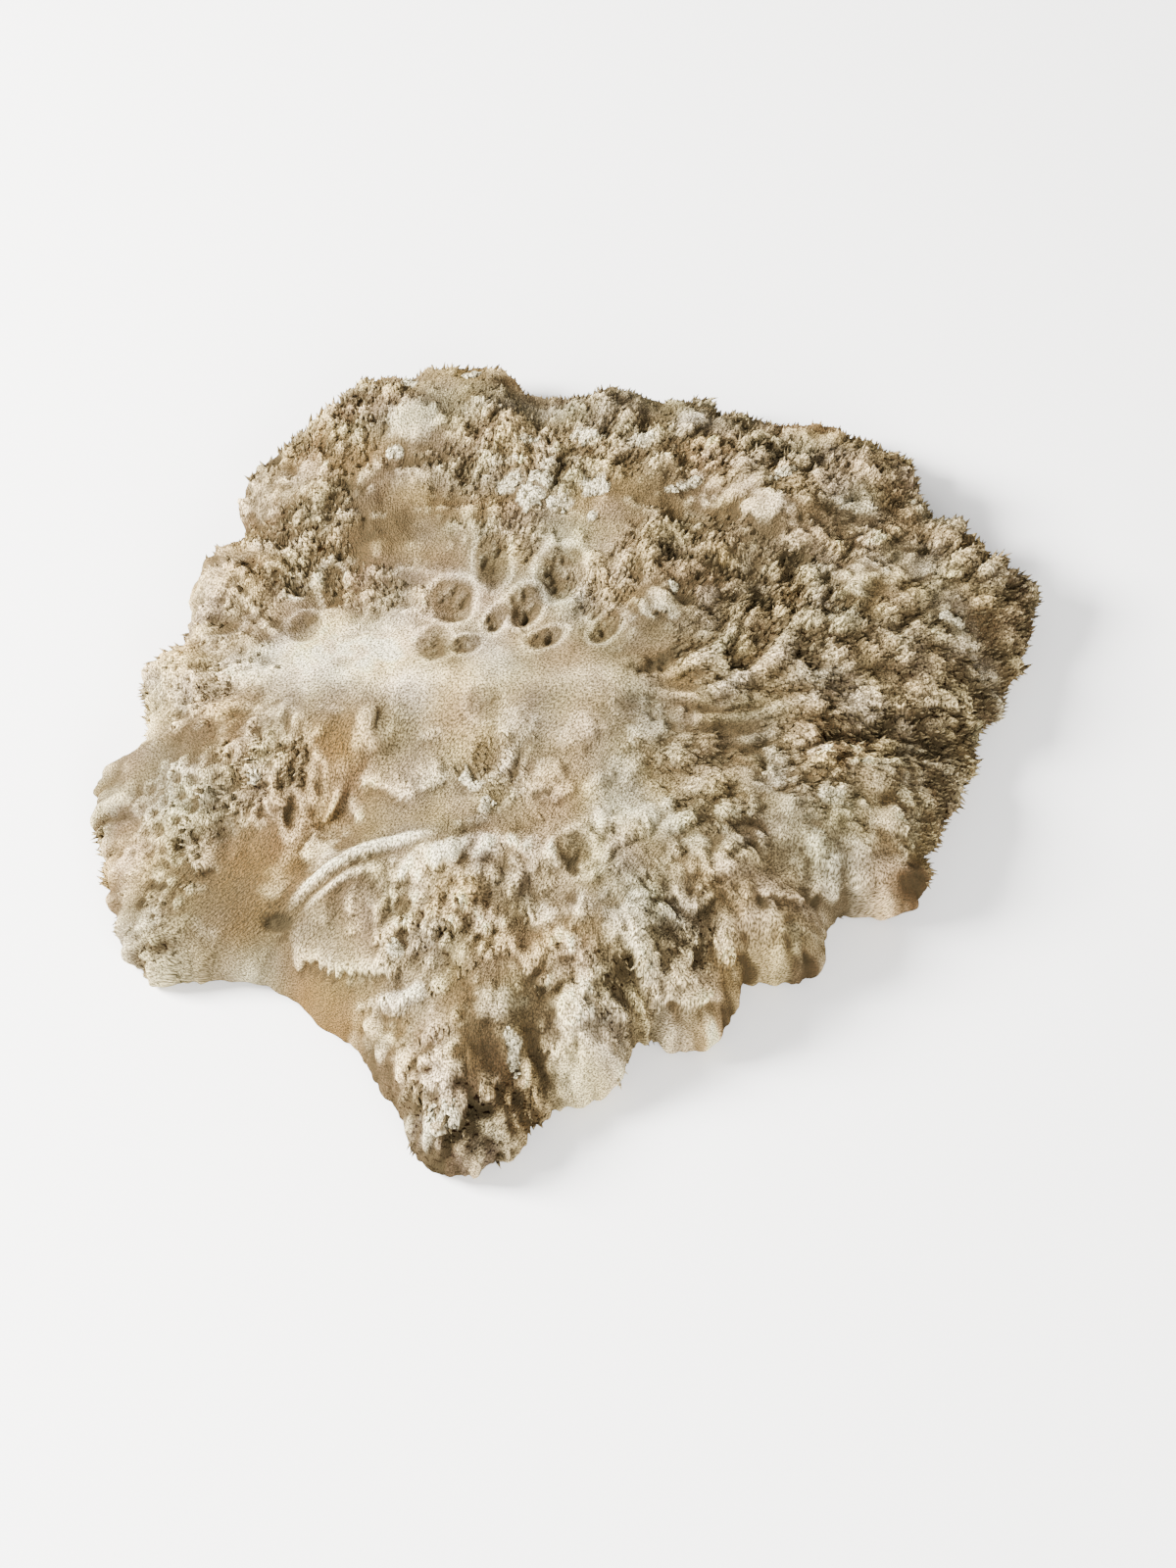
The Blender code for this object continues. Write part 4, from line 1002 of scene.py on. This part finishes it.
def unit(rows):  # each row at a length of 1
    return rows / np.maximum(np.linalg.norm(rows, axis=1, keepdims=True), 1e-9)


def makePrickles():  # one mesh of prickles, mostly on the steep ends of teeth and tufts
    draw = np.random.default_rng(prickle["seed"])
    points, normals = readRows(skin.data, "co") / mm, readRows(skin.data, "normal")
    x, y, z = points.T
    soft = blurred(tuftHeight + 0.7 * toothHeight, 0.6)
    north, east = np.gradient(soft, sheet["cell"])
    fall = -(east * tips.real + north * tips.imag)
    edge = readSheet(eased(fall, 0.25, 1.0) * eased(soft, 0.3, 1.4), x, y)
    bristle = readSheet(rough, x, y)
    wall = steepness(normals)
    behind = np.maximum(eased(y, 60, 110) * eased(x, -120, -60), eased(x, 140, 165))
    behind = wall * behind * eased(z, 8, 20)
    wish = eased(bristle, 0.2, 0.9) * (0.03 + edge + 0.5 * behind) * eased(z, 1.0, 2.5)
    wish *= 0.15 + 0.85 * eased(x, -150, -90) * eased(y, -110, -40)
    chosen = spread(points, wish, prickle["apart"], prickle["most"], draw)
    count = len(chosen)
    x, y, base, normal = x[chosen], y[chosen], points[chosen], normals[chosen]
    way = readSheet(tips, x, y) * np.exp(1j * draw.normal(0, prickle["sway"], count))
    flat = np.stack([way.real, way.imag, np.zeros(count)], axis=1)
    flat = unit(flat - normal * (flat * normal).sum(axis=1, keepdims=True))
    rise = (np.radians(draw.uniform(*prickle["rise"], count)) + 0.8 * wall[chosen])[:, None]
    along = flat * np.cos(rise) + normal * np.sin(rise)
    side = unit(np.cross(normal, along))
    thick = np.cross(side, along)
    size = draw.uniform(0.5, 1.3, (count, 1))
    size = size * (0.55 + 0.45 * eased(bristle[chosen], 0.2, 1))[:, None]
    shape, faces = modelPrickle()
    total = np.repeat(base[:, None], len(shape), axis=1)
    total += (shape[:, 2] - prickle["sunk"])[None, :, None] * (along * size)[:, None] * prickle["length"]
    wide = prickle["width"] * size
    total += shape[:, 1][None, :, None] * (side * wide)[:, None]
    total += shape[:, 0][None, :, None] * (thick * wide)[:, None] * prickle["flat"]
    mesh = bpy.data.meshes.new("prickles")
    every = [tuple(v + n * len(shape) for v in face) for n in range(count) for face in faces]
    mesh.from_pydata((total.reshape(-1, 3) * mm).tolist(), [], every)
    mesh.shade_smooth()
    shades = np.repeat(toneAt(base, normal)[:, None], len(shape), axis=1)
    shades *= draw.uniform(0.75, 1.3, (count, 1, 1))
    # Each prickle is painted darker at its foot and paler towards its tip: painted shade and painted
    # highlight.
    height = shape[:, 2][None, :, None]
    shades *= 0.5 + 0.5 * eased(height, 0, 0.6)
    shades += (np.array(colours["tip"]) - shades) * 0.5 * eased(height, 0.3, 1)
    spot = np.repeat(np.stack([x, y], axis=1)[:, None], len(shape), axis=1).reshape(-1, 2)
    finishSkin(mesh, spot[:, 0], spot[:, 1], shades.reshape(-1, 3))
    made = bpy.data.objects.new("prickles", mesh)
    bpy.context.collection.objects.link(made)
    print("prickles:", count, "of", len(faces), "faces")
    return made


prickles = makePrickles()


class Wire:  # a node's output; a sum written on it adds Math nodes
    def __init__(self, finish, socket):
        self.finish, self.socket = finish, socket

    def maths(self, operation, *values):
        return self.finish.node("ShaderNodeMath", {"operation": operation}, dict(enumerate(values)))

    def __add__(self, other):
        return self.maths("ADD", self, other)

    def __sub__(self, other):
        return self.maths("SUBTRACT", self, other)

    def __rsub__(self, other):
        return self.maths("SUBTRACT", other, self)

    def __mul__(self, other):
        return self.maths("MULTIPLY", self, other)

    __radd__, __rmul__ = __add__, __mul__

    def between(self, low, high, start=0.0, end=1.0):  # eased step from low to high
        inputs = {"From Min": low, "From Max": high, "To Min": start, "To Max": end, "Value": self}
        settings = {"interpolation_type": "SMOOTHSTEP"}
        return self.finish.node("ShaderNodeMapRange", settings, inputs)


class Finish:  # a material and its nodes
    def __init__(self, name, roughness):
        self.material = bpy.data.materials.new(name)
        self.material.use_nodes = True
        self.tree = self.material.node_tree
        self.shader = self.tree.nodes["Principled BSDF"]
        self.shader.inputs["Roughness"].default_value = roughness
        self.shader.inputs["Specular IOR Level"].default_value = 0.0  # dry and dusty

    def node(self, kind, settings, inputs, output=0):
        made = self.tree.nodes.new(kind)
        for key, value in settings.items():
            setattr(made, key, value)
        for key, value in inputs.items():
            self.plug(made.inputs[key], value)
        return Wire(self, made.outputs[output])

    def plug(self, socket, value):
        if isinstance(value, Wire):
            self.tree.links.new(value.socket, socket)
        else:
            socket.default_value = value

    def feed(self, name, value):
        self.plug(self.shader.inputs[name], value)

    def read(self, name):  # an attribute's three parts
        colour = self.node("ShaderNodeAttribute", {"attribute_name": name}, {}, "Color")
        return [self.node("ShaderNodeSeparateColor", {}, {0: colour}, part) for part in range(3)]

    def scaled(self, value, factor):
        return self.node("ShaderNodeVectorMath", {"operation": "SCALE"}, {0: value, "Scale": factor})

    def noise(self, place, size, detail=2.0, roughness=0.5, flat=False):
        place = self.scaled(place, 1 / size)
        inputs = {"Vector": place, "Scale": 1.0, "Detail": detail, "Roughness": roughness}
        return self.node("ShaderNodeTexNoise", {"noise_dimensions": "2D" if flat else "3D"}, inputs)

    def ramp(self, place, kind):  # soft hills, or scales that rise along the grain and end steeply
        if kind != "scale":
            inputs = {"Vector": place, "Scale": 1.0, "Detail": 1.0, "Roughness": 0.55}
            return self.node("ShaderNodeTexNoise", {"noise_dimensions": "2D"}, inputs) - 0.5
        inputs = {"Vector": place, "Scale": 1.0, "Randomness": 1.0}
        settings = {"voronoi_dimensions": "2D"}
        middle = self.node("ShaderNodeTexVoronoi", settings, inputs, "Position")
        apart = self.node("ShaderNodeVectorMath", {"operation": "SUBTRACT"}, {0: place, 1: middle})
        return self.node("ShaderNodeSeparateXYZ", {}, {0: apart}, 0)

    def mix(self, share, first, second):
        settings = {"data_type": "RGBA", "clamp_factor": True}
        return self.node("ShaderNodeMix", settings, {0: share, 6: first, 7: second}, 2)


woodFinish = {
    "roughness": 0.85,
    "fibre": (2.0, 0.62),  # fine fibres: length and width in millimetres
    "dash": (3.2, 1.15),  # short dashes between fibres, painted dark as shade on one side and pale as a highlight on the other
    "speck": 0.8,  # sandy specks
    "scale": (3.6, 1.7),  # overlapping scales, painted dark as shade at their steep ends
    "fibreBump": 0.45,
    "speckBump": 0.14,
    "scaleBump": 0.55,
    "bump": 0.002,  # metres
}


def woodSkin():  # the natural face: fibres along the grain, specks, painted shade in gaps and painted highlight on tips
    wood = Finish("weatheredBurl", woodFinish["roughness"])
    place = wood.node("ShaderNodeAttribute", {"attribute_name": "spot"}, {}, "Color")
    shares = wood.read("grainFirst") + wood.read("grainLast")
    bristle, depth, crest = wood.read("marks")
    tone = wood.node("ShaderNodeAttribute", {"attribute_name": "tone"}, {}, "Color")
    found = {"fibre": 0.0, "dash": 0.0, "scale": 0.0}
    for number, share in enumerate(shares):
        turn = (0, 0, number * math.pi / grainTurns)
        for name in found:
            inputs = {"Vector": place, "Rotation": turn, "Scale": (*woodFinish[name], 1)}
            along = wood.node("ShaderNodeMapping", {"vector_type": "TEXTURE"}, inputs)
            found[name] = wood.ramp(along, name) * share + found[name]
    fibre, dash, scale = found["fibre"], found["dash"], found["scale"]
    speck = wood.noise(place, woodFinish["speck"], 1.5, 0.6, flat=True)
    bristled = bristle * 0.75 + 0.25
    wave = fibre * 0.65 + (speck - 0.5) * 0.35
    # Tip: painted highlight on crests and on one side of the dashes. The mask for gaps: painted shade in
    # hollows, on the other side of the dashes and at the scales' steep ends. Nick: the deepest painted
    # shade.
    tip = (crest + wave).between(0.42, 0.62).maths("MAXIMUM", dash.between(0.1, 0.2) * bristle * 0.6)
    shadedGap = (depth - wave).between(0.45, 0.57).maths("MAXIMUM", dash.between(-0.08, -0.18) * bristled)
    shadedGap = shadedGap.maths("MAXIMUM", scale.between(-0.2, -0.5) * bristle)
    nick = (depth - wave).between(0.78, 0.92).maths("MAXIMUM", dash.between(-0.17, -0.23) * bristled)
    shade = fibre.between(-0.2, 0.2, -0.42, 0.42) * bristled + 1.0
    shade = shade * speck.between(0.3, 0.7, 0.22, 1.98)
    # Tips painted paler, gaps and nicks painted darker and towards the colour for gaps: painted
    # highlight and painted shade.
    tip = tip * (1.0 - shadedGap)
    shade = shade * (tip * 0.9 + 1.0) * (1.0 - shadedGap * 0.38) * (1.0 - nick * 0.78)
    shadedInGaps = wood.mix(shadedGap * 0.3, wood.scaled(tone, shade), (*colours["shadedGap"], 1))
    wood.feed("Base Color", wood.mix(tip * 0.25, shadedInGaps, (*colours["tip"], 1)))
    height = fibre * woodFinish["fibreBump"] + speck * woodFinish["speckBump"]
    height = height + scale * bristled * woodFinish["scaleBump"]
    bump = {"Strength": 1.0, "Distance": woodFinish["bump"], "Height": height}
    wood.feed("Normal", wood.node("ShaderNodeBump", {}, bump))
    return wood.material


sawnFinish = {  # sizes in millimetres, linear colours
    "roughness": 0.6, "swirl": 16.0, "rings": 22.0, "eyes": 21.0, "patches": 30.0, "pores": 1.1,
    "saw": (90.0, 1.6), "bump": 0.4, "dark": (0.235, 0.105, 0.052, 1),
    "light": (0.330, 0.170, 0.088, 1), "pale": (0.42, 0.26, 0.145, 1), "eye": (0.095, 0.038, 0.02, 1),
}


def sawnFace():  # the flat cut: red-brown burl figure with dark eyes and faint saw marks
    cut = Finish("sawnMallee", sawnFinish["roughness"])
    place = cut.node("ShaderNodeTexCoord", {}, {}, "Object")
    swirl = cut.noise(place, sawnFinish["swirl"] * mm, 6.0, 0.6)
    ring = swirl.maths("FRACT", swirl * sawnFinish["rings"])
    fine = cut.noise(place, sawnFinish["pores"] * mm, 2.0)
    inputs = {"Vector": place, "Scale": 1 / (sawnFinish["eyes"] * mm)}
    far = cut.node("ShaderNodeTexVoronoi", {}, inputs)
    eye = far.between(0.20, 0.06)
    wander = cut.noise(place, sawnFinish["patches"] * mm, 2.0)
    long, apart = sawnFinish["saw"]
    inputs = {"Vector": place, "Scale": (long * mm, apart * mm, 1)}
    mark = cut.node("ShaderNodeMapping", {"vector_type": "TEXTURE"}, inputs)
    mark = cut.node("ShaderNodeTexNoise", {}, {"Vector": mark, "Scale": 1.0, "Detail": 1.0})
    base = cut.mix(ring.between(0.0, 0.9), sawnFinish["dark"], sawnFinish["light"])
    base = cut.mix(wander.between(0.45, 0.62), base, sawnFinish["pale"])
    base = cut.mix(eye * 0.8, base, sawnFinish["eye"])
    shade = fine.between(0.3, 0.7, 0.85, 1.1) * mark.between(0.3, 0.7, 0.92, 1.06)
    cut.feed("Base Color", cut.scaled(base, shade))
    bump = {"Strength": 0.5, "Distance": sawnFinish["bump"] * mm, "Height": mark + fine * 0.3}
    cut.feed("Normal", cut.node("ShaderNodeBump", {}, bump))
    return cut.material


# Pale flakes lie in clusters on the chips: how many in a cluster, size in millimetres, and
# thickness as a share of the size.
flake = {"count": 10, "size": (1.4, 3.6), "thick": 0.35, "raised": 0.4, "rocky": 0.22, "seed": 41}


def makeFlakes():  # one mesh of flakes
    draw = np.random.default_rng(flake["seed"])
    bpy.ops.object.select_all(action="DESELECT")
    bpy.ops.mesh.primitive_ico_sphere_add(subdivisions=2, radius=0.5)
    made = bpy.context.object
    shape, faces = readRows(made.data, "co"), [tuple(face.vertices) for face in made.data.polygons]
    bpy.data.objects.remove(made)
    points, normals = readRows(skin.data, "co") / mm, readRows(skin.data, "normal")
    parts, shades = [], []
    for x, y, long, short, turn, strength in marks["chips"]:
        way = np.exp(1j * math.radians(turn))
        for number in range(int(flake["count"] * min(1.5, 0.25 + long * short / 22))):
            reach = np.sqrt(draw.random()) * np.exp(2j * math.pi * draw.random())
            off = (reach.real * long + 1j * reach.imag * short) * way
            near = np.argmin((points[:, 0] - x - off.real) ** 2 + (points[:, 1] - y - off.imag) ** 2)
            normal = normals[near] + draw.normal(0, 0.28, 3)
            normal /= np.linalg.norm(normal)
            side = np.cross(normal, draw.normal(0, 1, 3))
            side /= np.linalg.norm(side)
            size = draw.uniform(*flake["size"])
            across = np.cross(normal, side) * size * draw.uniform(0.45, 0.9)
            axes = np.stack([side * size, across, normal * size * flake["thick"]])
            rocky = shape * (1 + flake["rocky"] * draw.normal(0, 1, (len(shape), 1)))
            parts.append(points[near] + normals[near] * flake["raised"] + rocky @ axes)
            hue = np.array(colours["chip"]) * draw.uniform(0.72, 1.05)
            # Each flake is painted darker on its lower half: painted shade.
            shades.append(np.tile(hue, (len(shape), 1)) * np.clip(1 + rocky[:, 2:] * 0.6, 0.5, 1))
    total = np.concatenate(parts)
    mesh = bpy.data.meshes.new("paleFlakes")
    every = [tuple(v + n * len(shape) for v in face) for n in range(len(parts)) for face in faces]
    mesh.from_pydata((total * mm).tolist(), [], every)
    finishSkin(mesh, total[:, 0], total[:, 1], np.concatenate(shades))
    made = bpy.data.objects.new("paleFlakes", mesh)
    bpy.context.collection.objects.link(made)
    print("flakes:", len(parts))
    return made


flakes = makeFlakes()

weathered = woodSkin()
skin.data.materials.clear()
skin.data.materials.append(weathered)
skin.data.materials.append(sawnFace())
prickles.data.materials.append(weathered)
flakes.data.materials.append(weathered)
print("wood finished")

for piece in (skin, prickles, flakes):
    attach(piece, "root")
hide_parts("burl_cap")

studio = {  # metres, degrees and watts; each lamp's place, side and power
    "floor": 6.0, "world": 1.07, "paper": (0.93, 0.93, 0.925, 1), "paperRoughness": 0.9,
    "lamps": {"keyLight": ((-1.4, 0.1, 1.05), 0.6, 226), "fillLight": ((0.5, -1.6, 1.1), 1.2, 75)},
    "lampAim": (0, 0, 0.03), "lampColour": (1, 0.98, 0.95),
    "cameraRise": 62, "cameraAway": 1.6, "cameraAim": (0.008, -0.0105, 0), "lens": 90, "sensor": 36,
}


def makeStudio():  # the pale floor and the sky
    bpy.ops.object.select_all(action="DESELECT")
    bpy.ops.mesh.primitive_plane_add(size=studio["floor"], location=(0, 0, 0))
    floor = bpy.context.object
    floor.name = "studioFloor"
    paper = Finish("paleFloor", studio["paperRoughness"])
    paper.feed("Base Color", studio["paper"])
    floor.data.materials.append(paper.material)
    world = bpy.data.worlds.new("studioWorld")
    world.use_nodes = True
    sky = world.node_tree.nodes["Background"]
    sky.inputs["Color"].default_value = (1.0, 1.0, 1.0, 1)
    sky.inputs["Strength"].default_value = studio["world"]
    bpy.context.scene.world = world


def addLight(name, place, size, power):
    data = bpy.data.lights.new(name, "AREA")
    data.shape = "SQUARE"
    data.size, data.energy, data.color = size, power, studio["lampColour"]
    lamp = bpy.data.objects.new(name, data)
    bpy.context.collection.objects.link(lamp)
    lamp.location = place
    way = Vector(studio["lampAim"]) - Vector(place)
    lamp.rotation_euler = way.to_track_quat("-Z", "Y").to_euler()


def addCamera():
    data = bpy.data.cameras.new("camera")
    camera = bpy.data.objects.new("camera", data)
    bpy.context.collection.objects.link(camera)
    rise = math.radians(studio["cameraRise"])
    back = Vector((0, -math.cos(rise), math.sin(rise)))
    camera.location = Vector(studio["cameraAim"]) + back * studio["cameraAway"]
    camera.rotation_euler = (-back).to_track_quat("-Z", "Y").to_euler()
    data.lens, data.sensor_width = studio["lens"], studio["sensor"]
    bpy.context.scene.camera = camera


makeStudio()
for name, (place, size, power) in studio["lamps"].items():
    addLight(name, place, size, power)
addCamera()
print("studio set")
